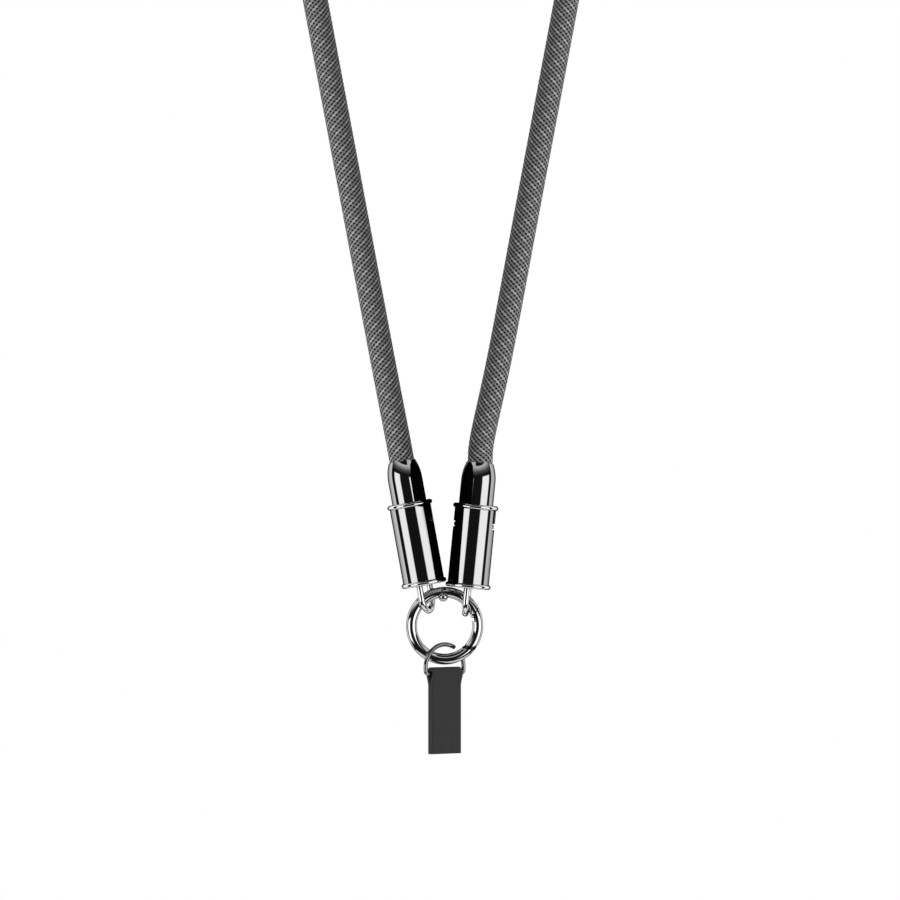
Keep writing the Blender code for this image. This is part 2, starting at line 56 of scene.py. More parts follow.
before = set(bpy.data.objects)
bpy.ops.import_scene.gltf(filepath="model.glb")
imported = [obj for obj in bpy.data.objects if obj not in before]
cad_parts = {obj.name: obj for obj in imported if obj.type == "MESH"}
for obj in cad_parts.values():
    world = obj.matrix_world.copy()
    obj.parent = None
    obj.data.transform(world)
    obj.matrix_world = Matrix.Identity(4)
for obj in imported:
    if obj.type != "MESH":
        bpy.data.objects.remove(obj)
cad_box = [list(corner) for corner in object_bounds()]

MM = 0.001
DEG = math.pi / 180
GAP = 0.3 * MM
# Slack when a point is told to lie on a surface
NEAR = 0.05 * MM

# How the fittings hang, as the model has them
RUN_LEAN = 10.6 * DEG
RUN_HEIGHT = 300 * MM
NECK_HALF_WIDTH = 73 * MM
NECK_DEPTH = 120 * MM
NECK_DROP = 90 * MM
LEFT_LEAN = -10.3 * DEG
RIGHT_LEAN = 5.6 * DEG
LEFT_TURN = -22 * DEG
RIGHT_TURN = -4 * DEG
BEAD_CLEARANCE = 0.15 * MM
SLEEVE_STAGGER = 1.6 * MM
RIGHT_DROP = 0.42 * MM
LOOP_PLAY = 1.25 * MM
BALL_INSET = 1.2 * MM
BALL_FORWARD = 1.1 * MM
BALL_ANGLE = 94 * DEG
D_TURN = 29 * DEG
D_SPLIT_FROM = 40 * DEG
D_SPLIT_TO = 59 * DEG
STRAP_CLOSING = 3.2 * MM

# Smaller forms of the bullets and sleeves
MOUTH_DEPTH = 3 * MM
SLOT_TURN = 36 * DEG
SLEEVE_FLOOR = 1.2 * MM
PIN_LIP = 0.12 * MM

# The cord's way over each shoulder
# columns: share of the neck's half width, of its depth, of its drop
SHOULDER_ROUTE = (
    (0.36, 0.03, 0.00),
    (0.69, 0.16, 0.03),
    (0.91, 0.39, 0.11),
    (1.00, 0.67, 0.29),
    (0.99, 0.90, 0.60),
)
RUN_STATIONS = (0.82, 0.62, 0.42, 0.24, 0.10)

# The braid's ribs change their way over this much cord on each side of the nape
BRAID_TURNOVER = 30 * MM
# Off the middle, the runs' inner sides reach their full painted shade here
INNER_FADE = 8 * MM

# How bright the ring is polished, and how dull the D ring is
RING_POLISH = 0.45
D_DARK_TONE = 0.35

# Gate of the ring
GATE_TOP_INNER = 13.3 * DEG
GATE_TOP_OUTER = 29.5 * DEG
GATE_FOOT_OUTER = -36.7 * DEG
GATE_OPENING = 30 * DEG
KEEPER = 0.45 * MM
SEAM = 0.18 * MM
HINGE_INSET = 1.3 * MM
HINGE_PIN = 0.7 * MM
HINGE_HOLE = 1.1 * MM
LUG_DIAMETER = 1.7 * MM
LUG_THICKNESS = 0.9 * MM

# Tall cards of the studio as the chrome sees them, level with it
# columns: angle from the front in degrees, to the right; share of the card's brightness
CARDS = (
    (-73, 0),
    (-69, 1),
    (-35, 1),
    (-31, 0),
    (26, 0),
    (30, 1),
    (73, 1),
    (77, 0),
)
# Grey walls beside and behind the cards with a dark back, in the same columns
WALLS = (
    (-180, 0.0),
    (-150, 0.0),
    (-145, 0.7),
    (-135, 0.75),
    (-98, 0.85),
    (-94, 0),
    (94, 0),
    (99, 0.75),
    (135, 0.7),
    (145, 0.7),
    (150, 0.0),
    (180, 0.0),
)
# Black card between the two sleeves, seen only in reflections, where it stands in for the shade between them
# columns: height on the sleeves' axes, reach towards the viewer
BLACK_CARD = (
    (0.5 * MM, 6.5 * MM),
    (22.5 * MM, 6.5 * MM),
    (23.0 * MM, 17.0 * MM),
    (33.0 * MM, 17.0 * MM),
    (41.0 * MM, 9.0 * MM),
)
CARD_BACK = 7 * MM
# Strip of light over the front, by height in degrees
OVERHEAD = (
    (15, 0),
    (24, 0.12),
    (30, 0.45),
    (37, 0.9),
    (50, 0.9),
    (56, 0.2),
    (90, 0.3),
)
CARD_LIGHT = 1.75
WALL_LIGHT = 1.45
BELOW_LIGHT = 0.18
LEAST_LIGHT = 0.012

# The camera looks level at the fittings
PIXEL = 0.2747 * MM
PICTURE = 900
SENSOR = 36
CAMERA_DISTANCE = 1.6
CAMERA_RIGHT = 9 * PIXEL
CAMERA_UP = 11 * PIXEL
FLOOR_RADIUS = 0.4
FLOOR_DROP = 0.35


def size(name, value, text):
    return FloatProperty(name=name, description=text, default=value, unit="LENGTH", precision=5)


def colour(name, value, text):
    return FloatVectorProperty(name=name, description=text, default=value, subtype="COLOR", min=0, max=1)


class LanyardSizes(bpy.types.PropertyGroup):
    """Sizes of the dressed pieces."""

    cord_diameter: size("Cord", 6.8 * MM, "Diameter of the braided cable")
    rib_pitch: size("Rib pitch", 1.23 * MM, "Distance along the cable from one rib of the braid to the next")
    rib_starts: IntProperty(name="Rib starts", description="Ribs counted round the cable", default=13)
    rib_relief: size("Rib relief", 0.12 * MM, "Height of the braid's ribs")
    bullet_diameter: size("Bullet", 9.5 * MM, "Diameter of the bullet ferrules")
    mouth_diameter: size("Mouth", 7.3 * MM, "Diameter of a bullet's mouth, where the cable goes in")
    nose_height: size("Nose", 5.2 * MM, "Height of a bullet's rounded nose")
    bullet_shown: size("Bullet shown", 12.2 * MM, "From a bullet's mouth to its sleeve's upper bead")
    bullet_hidden: size("Bullet hidden", 12.4 * MM, "Length of a bullet inside its sleeve")
    sleeve_length: size("Sleeve", 21.8 * MM, "Between the middles of a sleeve's beads")
    sleeve_wall: size("Sleeve wall", 0.65 * MM, "Thickness of the sleeves' wall")
    bead_wire: size("Bead", 1.3 * MM, "Thickness of the beads round a sleeve's ends")
    bead_diameter: size("Bead diameter", 12.5 * MM, "Diameter over a sleeve's beads")
    slot_drop: size("Slot drop", 5.1 * MM, "From the upper bead down to the level slot")
    slot_height: size("Slot height", 1.6 * MM, "Height of the level slot")
    pin_diameter: size("Pin", 1.0 * MM, "Diameter of the bayonet pins")
    loop_wire: size("Loop wire", 1.7 * MM, "Thickness of the loops under the sleeves")
    loop_half_width: size("Loop half width", 3.7 * MM, "From a loop's middle to the middle of its wire")
    loop_reach: size("Loop reach", 8.55 * MM, "How far a loop hangs below its sleeve's lower bead")
    ring_wire: size("Ring wire", 3.0 * MM, "Thickness of the gate ring")
    ring_radius: size("Ring radius", 9.2 * MM, "From the ring's middle to the middle of its wire")
    ball_diameter: size("Ball", 2.65 * MM, "Diameter of the ball on the ring")
    d_wire: size("D wire", 1.2 * MM, "Thickness of the D ring's wire")
    d_half_width: size("D half width", 6.5 * MM, "From the D ring's middle to the middle of its side")
    d_arch: size("D arch", 6.1 * MM, "Height of the D ring's arch")
    d_corner: size("D corner", 1.0 * MM, "Radius of the D ring's corners")
    d_shoulder: size("D shoulder", 0.9 * MM, "Straight part of the D ring's sides")
    strap_width: size("Strap width", 10.2 * MM, "Width of the strap tab")
    strap_thickness: size("Strap thickness", 1.0 * MM, "Thickness of one layer of the strap")
    strap_length: size("Strap length", 22 * MM, "From the D ring's bar to the strap's end")


class LanyardColours(bpy.types.PropertyGroup):
    """Colours of the dressed pieces."""

    rib_light: colour("Light rib", (0.41, 0.41, 0.41), "Lighter ribs of the braid")
    rib_dark: colour("Dark rib", (0.21, 0.21, 0.21), "Darker ribs of the braid")
    rib_valley: colour("Braid valley", (0.003, 0.003, 0.003), "Between the ribs")
    chrome: colour("Gunmetal", (0.482, 0.484, 0.488), "Mirror bright metal of the fittings")
    steel: colour("Plug steel", (0.62, 0.62, 0.64), "Plug shells")
    strap: colour("Strap", (0.0135, 0.0135, 0.0138), "Strap tab")
    floor: colour("Floor", (0.86, 0.86, 0.86), "Studio floor")


# Places that follow from the sizes


def sleeve_diameter(s):
    return s.bullet_diameter + 2 * (GAP + s.sleeve_wall)


def axis_length(s):
    return s.bullet_shown + s.sleeve_length


def cord_top(s):
    return Vector((0, s.cord_diameter / 2, 0))


def front(s):
    return cord_top(s).y - NECK_DEPTH


def sleeve_base(s, side):
    """Middle of the lower bead."""
    lean = LEFT_LEAN if side < 0 else RIGHT_LEAN
    spacing = (s.bead_diameter + sleeve_diameter(s)) / 2 + BEAD_CLEARANCE
    shift = -axis_length(s) * (math.sin(LEFT_LEAN) + math.sin(RIGHT_LEAN)) / 2
    drop = RIGHT_DROP if side > 0 else 0
    height = -(NECK_DROP + RUN_HEIGHT) - axis_length(s) * math.cos(lean) - drop
    return Vector((side * spacing / 2 + shift, front(s) + side * SLEEVE_STAGGER / 2, height))


def sleeve_frame(s, side):
    """Local +Z runs up the sleeve's axis, local Y along its loop's width."""
    lean, turn = (LEFT_LEAN, LEFT_TURN) if side < 0 else (RIGHT_LEAN, RIGHT_TURN)
    upright = Matrix.Rotation(lean, 4, "Y") @ Matrix.Rotation(turn, 4, "Z")
    return Matrix.Translation(sleeve_base(s, side)) @ upright


def loop_crossing(s, side):
    depth = s.loop_reach - s.loop_wire - LOOP_PLAY - s.ring_wire / 2
    return sleeve_frame(s, side) @ Vector((0, 0, -depth))


def ring_frame(s):
    """The ring's middle, with the ring in the XZ plane."""
    left, right = loop_crossing(s, -1), loop_crossing(s, 1)
    along = (right - left).normalized()
    back = Vector((0, 0, 1)).cross(along).normalized()
    swing = Matrix((along, back, along.cross(back))).transposed().to_4x4()
    swing.translation = (left + right) / 2
    down = math.sqrt(s.ring_radius**2 - ((right - left).length / 2) ** 2)
    tilt = math.atan2(along.z, math.hypot(along.x, along.y))
    return swing @ Matrix.Translation((0, 0, -down)) @ Matrix.Rotation(tilt, 4, "Y")


def polar(radius, angle):
    return Vector((radius * math.cos(angle), radius * math.sin(angle)))


def seam_ends(s):
    inner = polar(s.ring_radius - s.ring_wire / 2, GATE_TOP_INNER)
    outer = polar(s.ring_radius + s.ring_wire / 2, GATE_TOP_OUTER)
    return inner, (outer - inner).normalized()


def hinge_place(s):
    inner, along = seam_ends(s)
    return inner + along * HINGE_INSET


def d_frame(s):
    """The middle of the D ring's arch, taken from the model's own D ring."""
    _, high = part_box("d_ring")
    tab = ring_frame(s) @ Matrix.Translation((0, 0, -s.ring_radius))
    top = high[2] - s.d_wire / 2 - s.d_arch - tab.translation.z
    return tab @ Matrix.Translation((0, 0, top)) @ Matrix.Rotation(D_TURN, 4, "Z")


# Mesh helpers


def arc(centre, radius, start, end, steps):
    for step in range(steps + 1):
        angle = start + (end - start) * step / steps
        yield (centre[0] + radius * math.cos(angle), centre[1] + radius * math.sin(angle))


def to_mesh(bm, name, merge=1e-7):
    bmesh.ops.remove_doubles(bm, verts=bm.verts, dist=merge)
    bmesh.ops.recalc_face_normals(bm, faces=bm.faces)
    mesh = bpy.data.meshes.new(name)
    bm.to_mesh(mesh)
    bm.free()
    return mesh


def spun(name, profile, steps, closed=False):
    """A profile of (radius, height) points spun round Z."""
    bm = bmesh.new()
    verts = [bm.verts.new((radius, 0, height)) for radius, height in profile]
    pairs = list(zip(verts, verts[1:])) + ([(verts[-1], verts[0])] if closed else [])
    edges = [bm.edges.new(pair) for pair in pairs]
    bmesh.ops.spin(bm, geom=verts + edges, axis=(0, 0, 1), cent=(0, 0, 0), angle=2 * math.pi, steps=steps)
    return to_mesh(bm, name)


def extruded(name, outline, offset):
    """A closed outline of points pushed along an offset."""
    bm = bmesh.new()
    face = bm.faces.new([bm.verts.new(point) for point in outline])
    grown = bmesh.ops.extrude_face_region(bm, geom=[face])
    moved = [item for item in grown["geom"] if isinstance(item, bmesh.types.BMVert)]
    bmesh.ops.translate(bm, verts=moved, vec=offset)
    return to_mesh(bm, name)


def y_prism(name, outline, reach):
    return extruded(name, [(x, -reach, z) for x, z in outline], (0, 2 * reach, 0))


def tube(name, points, diameter, sides=24, lip=0.0):
    """A round wire through the points, with frames carried along it. Each end can have a small raised lip."""
    points = [Vector(point) for point in points]
    last = len(points) - 1
    tangents = [(points[min(i + 1, last)] - points[max(i - 1, 0)]).normalized() for i in range(last + 1)]
    across = tangents[0].orthogonal().normalized()
    radius = diameter / 2

    def lip_stations(end, outward, shares):
        for share in shares:
            rise = lip * math.sin(share * math.pi / 2)
            inset = lip * (1 - math.cos((1 - share) * math.pi / 2))
            yield points[end] + tangents[end] * outward * rise, tangents[end], radius - inset

    stations = [(point, tangent, radius) for point, tangent in zip(points, tangents)]
    if lip:
        shares = (0.0, 0.3, 0.7)
        stations = [*lip_stations(0, -1, shares), *stations, *lip_stations(last, 1, reversed(shares))]
    bm = bmesh.new()
    rings = []
    for point, tangent, reach in stations:
        across = (across - tangent * across.dot(tangent)).normalized()
        other = tangent.cross(across)
        ring = []
        for side in range(sides):
            angle = 2 * math.pi * side / sides
            ring.append(bm.verts.new(point + (across * math.cos(angle) + other * math.sin(angle)) * reach))
        rings.append(ring)
    for here, there in zip(rings, rings[1:]):
        for side in range(sides):
            after = (side + 1) % sides
            bm.faces.new((here[side], here[after], there[after], there[side]))
    bm.faces.new(rings[0])
    bm.faces.new(rings[-1])
    return to_mesh(bm, name)


def added(name, data):
    """A new object in the scene."""
    obj = bpy.data.objects.new(name, data)
    bpy.context.scene.collection.objects.link(obj)
    return obj


def combined(name, base, steps):
    """The base mesh after Boolean steps of (operation, mesh)."""
    host = added(name, base)
    helpers = []
    for number, (operation, mesh) in enumerate(steps):
        cutter = added(f"{name}_{number}", mesh)
        helpers.append(cutter)
        modifier = host.modifiers.new(f"step_{number}", "BOOLEAN")
        modifier.operation = operation
        modifier.solver = "EXACT"
        modifier.object = cutter
    graph = bpy.context.evaluated_depsgraph_get()
    made = bpy.data.meshes.new_from_object(host.evaluated_get(graph))
    for obj in [host, *helpers]:
        bpy.data.objects.remove(obj)
    if len(made.polygons) < 10:
        raise RuntimeError(f"{name}: a Boolean step left nothing")
    bm = bmesh.new()
    bm.from_mesh(made)
    bmesh.ops.remove_doubles(bm, verts=bm.verts, dist=1e-6)
    bmesh.ops.dissolve_degenerate(bm, edges=bm.edges, dist=1e-7)
    bm.to_mesh(made)
    bm.free()
    return made


def dress(name, mesh, place, body, slot, finish, *nodes, sharp=32):
    """A finished piece: its place goes into its mesh, and it takes over its CAD nodes."""
    mesh.transform(place)
    mesh.materials.clear()
    mesh.materials.append(finish)
    mesh.shade_smooth()
    mesh.set_sharp_from_angle(angle=sharp * DEG)
    obj = added(name, mesh)
    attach(obj, body)
    if nodes:
        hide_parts(*nodes)
    return obj


# Shaders


def new_group(name, inputs, outputs):
    tree = bpy.data.node_groups.new(name, "ShaderNodeTree")
    for label, kind, value in inputs:
        socket = tree.interface.new_socket(label, in_out="INPUT", socket_type=kind)
        if value is not None:
            socket.default_value = value
    for label, kind in outputs:
        tree.interface.new_socket(label, in_out="OUTPUT", socket_type=kind)
    return tree, tree.nodes.new("NodeGroupInput"), tree.nodes.new("NodeGroupOutput")


def maths(tree, operation, *values, clamp=False):
    """A Math node fed by sockets or numbers."""
    node = tree.nodes.new("ShaderNodeMath")
    node.operation = operation
    node.use_clamp = clamp
    for socket, value in zip(node.inputs, values):
        if isinstance(value, (int, float)):
            socket.default_value = value
        else:
            tree.links.new(value, socket)
    return node.outputs[0]


def mixed(tree, factor, first, second):
    node = tree.nodes.new("ShaderNodeMix")
    node.data_type = "RGBA"
    for socket, value in ((node.inputs[0], factor), (node.inputs[6], first), (node.inputs[7], second)):
        if isinstance(value, (int, float)):
            socket.default_value = value
        elif isinstance(value, tuple):
            socket.default_value = (*value, 1)
        else:
            tree.links.new(value, socket)
    return node.outputs[2]


def noise(tree, vector, scale, detail=3, roughness=0.5):
    node = tree.nodes.new("ShaderNodeTexNoise")
    tree.links.new(vector, node.inputs["Vector"])
    if isinstance(scale, (int, float)):
        node.inputs["Scale"].default_value = scale
    else:
        tree.links.new(scale, node.inputs["Scale"])
    node.inputs["Detail"].default_value = detail
    node.inputs["Roughness"].default_value = roughness
    return node.outputs["Fac"]


def stepped(tree, value, low, high):
    """A smooth step from 0 at low to 1 at high."""
    node = tree.nodes.new("ShaderNodeMapRange")
    node.interpolation_type = "SMOOTHSTEP"
    for label, given in (("Value", value), ("From Min", low), ("From Max", high)):
        if isinstance(given, (int, float)):
            node.inputs[label].default_value = given
        else:
            tree.links.new(given, node.inputs[label])
    return node.outputs[0]


def placed(tree, group, **values):
    node = tree.nodes.new("ShaderNodeGroup")
    node.node_tree = group
    for label, value in values.items():
        socket = node.inputs[label.replace("_", " ")]
        if isinstance(value, (int, float)):
            socket.default_value = value
        elif isinstance(value, tuple):
            socket.default_value = (*value, 1)
        else:
            tree.links.new(value, socket)
    return node


def handling_group():
    """Faint smudges and hairlines that handling leaves on polished metal."""
    if "Handling marks" in bpy.data.node_groups:
        return bpy.data.node_groups["Handling marks"]
    tree, entry, leave = new_group(
        "Handling marks",
        (
            ("Vector", "NodeSocketVector", None),
            ("Smudge size", "NodeSocketFloat", 150.0),
            ("Base roughness", "NodeSocketFloat", 0.05),
            ("Smudging", "NodeSocketFloat", 0.06),
        ),
        (("Roughness", "NodeSocketFloat"), ("Height", "NodeSocketFloat"), ("Tone", "NodeSocketFloat")),
    )
    smudge = noise(tree, entry.outputs["Vector"], entry.outputs["Smudge size"], 4, 0.6)
    patch = maths(tree, "POWER", smudge, 3.0)
    rough = maths(tree, "MULTIPLY_ADD", patch, entry.outputs["Smudging"], entry.outputs["Base roughness"])
    stretch = tree.nodes.new("ShaderNodeMapping")
    stretch.inputs["Scale"].default_value = (9, 9, 0.6)
    tree.links.new(entry.outputs["Vector"], stretch.inputs["Vector"])
    hairline = noise(tree, stretch.outputs[0], 900.0, 2, 0.5)
    tree.links.new(rough, leave.inputs["Roughness"])
    tree.links.new(hairline, leave.inputs["Height"])
    tree.links.new(maths(tree, "MULTIPLY_ADD", smudge, 0.10, 0.95), leave.inputs["Tone"])
    return tree


def braid_group():
    """Ribs that wind one way round the cable, crossed by ribs that wind the other way.

    UV runs once round the cable and along it in metres, counted from the nape.
    """
    if "Braid" in bpy.data.node_groups:
        return bpy.data.node_groups["Braid"]
    tree, entry, leave = new_group(
        "Braid",
        (
            ("UV", "NodeSocketVector", None),
            ("Starts", "NodeSocketFloat", 13.0),
            ("Pitch", "NodeSocketFloat", 0.00123),
            ("Turnover", "NodeSocketFloat", BRAID_TURNOVER),
        ),
        (
            ("Height", "NodeSocketFloat"),
            ("Rib tone", "NodeSocketFloat"),
            ("Line", "NodeSocketFloat"),
            ("Dot", "NodeSocketFloat"),
        ),
    )
    split = tree.nodes.new("ShaderNodeSeparateXYZ")
    tree.links.new(entry.outputs["UV"], split.inputs[0])
    around = maths(tree, "MULTIPLY", split.outputs[0], entry.outputs["Starts"])
    along = maths(tree, "DIVIDE", split.outputs[1], entry.outputs["Pitch"])
    rising = maths(tree, "SUBTRACT", around, along)
    falling = maths(tree, "ADD", around, along)
    before_nape = maths(tree, "MULTIPLY", entry.outputs["Turnover"], -1.0)
    turn = stepped(tree, split.outputs[1], before_nape, entry.outputs["Turnover"])

    def by_side(first, second, period):
        """A phase folded back and forth: the first one before the nape, the second one after it."""
        node = tree.nodes.new("ShaderNodeMix")
        tree.links.new(turn, node.inputs[0])
        for phase, socket in ((first, node.inputs[2]), (second, node.inputs[3])):
            tree.links.new(maths(tree, "PINGPONG", phase, period), socket)
        return node.outputs[0]

    rib = by_side(rising, falling, 0.5)
    cross = by_side(falling, rising, 0.5)
    pair = by_side(maths(tree, "ADD", rising, 0.5), maths(tree, "ADD", falling, 0.5), 1.0)
    long_pair = by_side(falling, rising, 2.0)
    squares = maths(tree, "ADD", maths(tree, "POWER", rib, 2.0), maths(tree, "POWER", cross, 2.0))
    reach = maths(tree, "SQRT", squares)
    dot = stepped(tree, reach, 0.25, 0.37)
    line = stepped(tree, rib, 0.04, 0.26)
    crown = maths(tree, "SINE", maths(tree, "MULTIPLY", rib, math.pi))
    hump = maths(tree, "SINE", maths(tree, "MULTIPLY", cross, math.pi))
    body = maths(tree, "MULTIPLY", crown, maths(tree, "MULTIPLY_ADD", hump, 0.35, 0.65))
    tone = stepped(tree, pair, 0.35, 0.65)
    patch = stepped(tree, long_pair, 0.5, 1.5)
    height = maths(tree, "MULTIPLY", body, maths(tree, "MULTIPLY_ADD", dot, 0.6, 0.4))
    rib_tone = maths(tree, "MULTIPLY", tone, maths(tree, "MULTIPLY_ADD", patch, 0.65, 0.35))
    tree.links.new(height, leave.inputs["Height"])
    tree.links.new(rib_tone, leave.inputs["Rib tone"])
    tree.links.new(line, leave.inputs["Line"])
    tree.links.new(dot, leave.inputs["Dot"])
    return tree


def blank_material(name):
    made = bpy.data.materials.get(name)
    if made:
        return made, None, None
    made = bpy.data.materials.new(name)
    made.use_nodes = True
    return made, made.node_tree, made.node_tree.nodes["Principled BSDF"]


def object_coordinates(tree):
    return tree.nodes.new("ShaderNodeTexCoord").outputs["Object"]


def bump(tree, height, distance, strength, shader):
    node = tree.nodes.new("ShaderNodeBump")
    node.inputs["Distance"].default_value = distance
    node.inputs["Strength"].default_value = strength
    tree.links.new(height, node.inputs["Height"])
    tree.links.new(node.outputs[0], shader.inputs["Normal"])
    return node


def attribute(tree, label):
    node = tree.nodes.new("ShaderNodeAttribute")
    node.attribute_name = label
    return node.outputs["Fac"]


def uv_map(tree):
    node = tree.nodes.new("ShaderNodeUVMap")
    node.uv_map = "UVMap"
    return node.outputs[0]


def marked(mesh, label, measure):
    """The mesh with a number at each of its points."""
    layer = mesh.attributes.new(label, "FLOAT", "POINT")
    layer.data.foreach_set("value", [measure(vert) for vert in mesh.vertices])
    return mesh


def metal_material(name, tint, base_roughness, smudging, hairline):
    made, tree, shader = blank_material(name)
    if tree is None:
        return made
    marks = placed(
        tree,
        handling_group(),
        Vector=object_coordinates(tree),
        Smudge_size=160.0,
        Base_roughness=base_roughness,
        Smudging=smudging,
    )
    shader.inputs["Metallic"].default_value = 1.0
    shader.inputs["Specular Tint"].default_value = (0, 0, 0, 1)
    dull = tuple(channel * 0.90 for channel in tint)
    above_least = maths(tree, "SUBTRACT", marks.outputs["Tone"], 0.95)
    tone = maths(tree, "MULTIPLY_ADD", above_least, 10.0, 0.0, clamp=True)
    polished = tuple(min(channel * 1.7, 0.9) for channel in tint)
    clean = mixed(tree, attribute(tree, "polish"), mixed(tree, tone, dull, tuple(tint)), polished)
    shade_and_dark_tone = tuple(channel * 0.08 for channel in tint)
    # Painted shade: the gate's seam is painted near black; the same mix gives the D ring its darker tone
    tree.links.new(mixed(tree, attribute(tree, "seam_shade_and_dark_tone"), clean, shade_and_dark_tone), shader.inputs["Base Color"])
    tree.links.new(marks.outputs["Roughness"], shader.inputs["Roughness"])
    bump(tree, marks.outputs["Height"], 0.00001, hairline, shader)
    return made


def chrome_material(colours):
    return metal_material("gunmetal_chrome_dressed", colours.chrome, 0.025, 0.05, 0.015)


def steel_material(colours):
    return metal_material("plug_steel_dressed", colours.steel, 0.22, 0.20, 0.25)


def braid_material(sizes, colours):
    made, tree, shader = blank_material("grey_braid_dressed")
    if tree is None:
        return made
    braid = placed(
        tree,
        braid_group(),
        UV=uv_map(tree),
        Starts=float(sizes.rib_starts),
        Pitch=sizes.rib_pitch,
        Turnover=BRAID_TURNOVER,
    )
    fibre = noise(tree, object_coordinates(tree), 2600.0, 3, 0.6)
    # Painted shade: where the runs face each other the braid is painted darker, with deeper lines between the
    # ribs
    shade = attribute(tree, "painted_inner_shade")
    line = braid.outputs["Line"]
    valley = tuple(colours.rib_valley)
    spread = maths(tree, "SUBTRACT", fibre, 0.5)
    tone = maths(tree, "MULTIPLY_ADD", spread, 0.5, braid.outputs["Rib tone"], clamp=True)
    rib = mixed(tree, tone, tuple(colours.rib_dark), tuple(colours.rib_light))
    least = maths(tree, "MULTIPLY_ADD", shade, -0.36, 0.36)
    kept = maths(tree, "MULTIPLY_ADD", maths(tree, "SUBTRACT", 1.0, line), least, line)
    dotted = mixed(tree, braid.outputs["Dot"], valley, mixed(tree, kept, valley, rib))
    dimmed = mixed(tree, maths(tree, "MULTIPLY", shade, 0.52), dotted, valley)
    tree.links.new(dimmed, shader.inputs["Base Color"])
    tree.links.new(maths(tree, "MULTIPLY_ADD", fibre, 0.25, 0.55), shader.inputs["Roughness"])
    shader.inputs["Specular IOR Level"].default_value = 0.3
    bump(tree, braid.outputs["Height"], 0.00016, 0.8, shader)
    return made


def strap_material(colours):
    made, tree, shader = blank_material("charcoal_strap_dressed")
    if tree is None:
        return made
    split = tree.nodes.new("ShaderNodeSeparateXYZ")
    tree.links.new(uv_map(tree), split.inputs[0])
    thread = 0.42 * MM
    warp = maths(tree, "SINE", maths(tree, "MULTIPLY", split.outputs[0], 2 * math.pi / thread))
    weft = maths(tree, "SINE", maths(tree, "MULTIPLY", split.outputs[1], 2 * math.pi / thread))
    weave = maths(tree, "MULTIPLY", warp, weft)
    fibre = noise(tree, object_coordinates(tree), 3000.0, 3, 0.6)
    level = maths(tree, "MULTIPLY_ADD", weave, 0.18, fibre, clamp=True)
    base = tuple(colours.strap)
    woven = mixed(tree, level, tuple(c * 0.75 for c in base), tuple(c * 1.3 for c in base))
    tree.links.new(woven, shader.inputs["Base Color"])
    tree.links.new(maths(tree, "MULTIPLY_ADD", fibre, 0.2, 0.6), shader.inputs["Roughness"])
    shader.inputs["Sheen Weight"].default_value = 0.1
    bump(tree, weave, 0.00004, 0.6, shader)
    return made


# Cord


def smooth_route(places, count):
    """Evenly spaced points on a smooth curve through the places."""
    fine = []
    ends = [2 * places[0] - places[1], *places, 2 * places[-1] - places[-2]]
    for before, start, end, after in zip(ends, ends[1:], ends[2:], ends[3:]):
        first = (end - before) / 2
        last = (after - start) / 2
        for step in range(24):
            t = step / 24
            fine.append(
                start * (2 * t**3 - 3 * t**2 + 1)
                + first * (t**3 - 2 * t**2 + t)
                + end * (3 * t**2 - 2 * t**3)
                + last * (t**3 - t**2)
            )
    fine.append(places[-1])
    reach = [0]
    for start, end in zip(fine, fine[1:]):
        reach.append(reach[-1] + (end - start).length)
    points = []
    at = 0
    for number in range(count):
        target = reach[-1] * number / (count - 1)
        while at < len(fine) - 2 and reach[at + 1] < target:
            at += 1
        share = (target - reach[at]) / (reach[at + 1] - reach[at])
        points.append(fine[at].lerp(fine[at + 1], share))
    return points


def half_route(s, side):
    """From the nape's middle, left out, into the mouth of one bullet."""
    base = sleeve_base(s, side)
    axis = sleeve_frame(s, side).col[2].to_3d().normalized()
    mouth = base + axis * (axis_length(s) + 1.5 * GAP)
    places = [
        Vector((side * width * NECK_HALF_WIDTH, cord_top(s).y - depth * NECK_DEPTH, -drop * NECK_DROP))
        for width, depth, drop in SHOULDER_ROUTE
    ]
    places.append(Vector((side * (abs(mouth.x) + RUN_HEIGHT * math.tan(RUN_LEAN)), front(s), -NECK_DROP)))
    for share in RUN_STATIONS:
        height = share * RUN_HEIGHT
        across = abs(mouth.x) + height * math.tan(RUN_LEAN)
        places.append(Vector((side * across, front(s), -(NECK_DROP + RUN_HEIGHT) + height)))
    places.append(mouth + axis * s.cord_diameter)
    places.append(mouth)
    places.append(mouth - axis * MOUTH_DEPTH * 0.8)
    return places


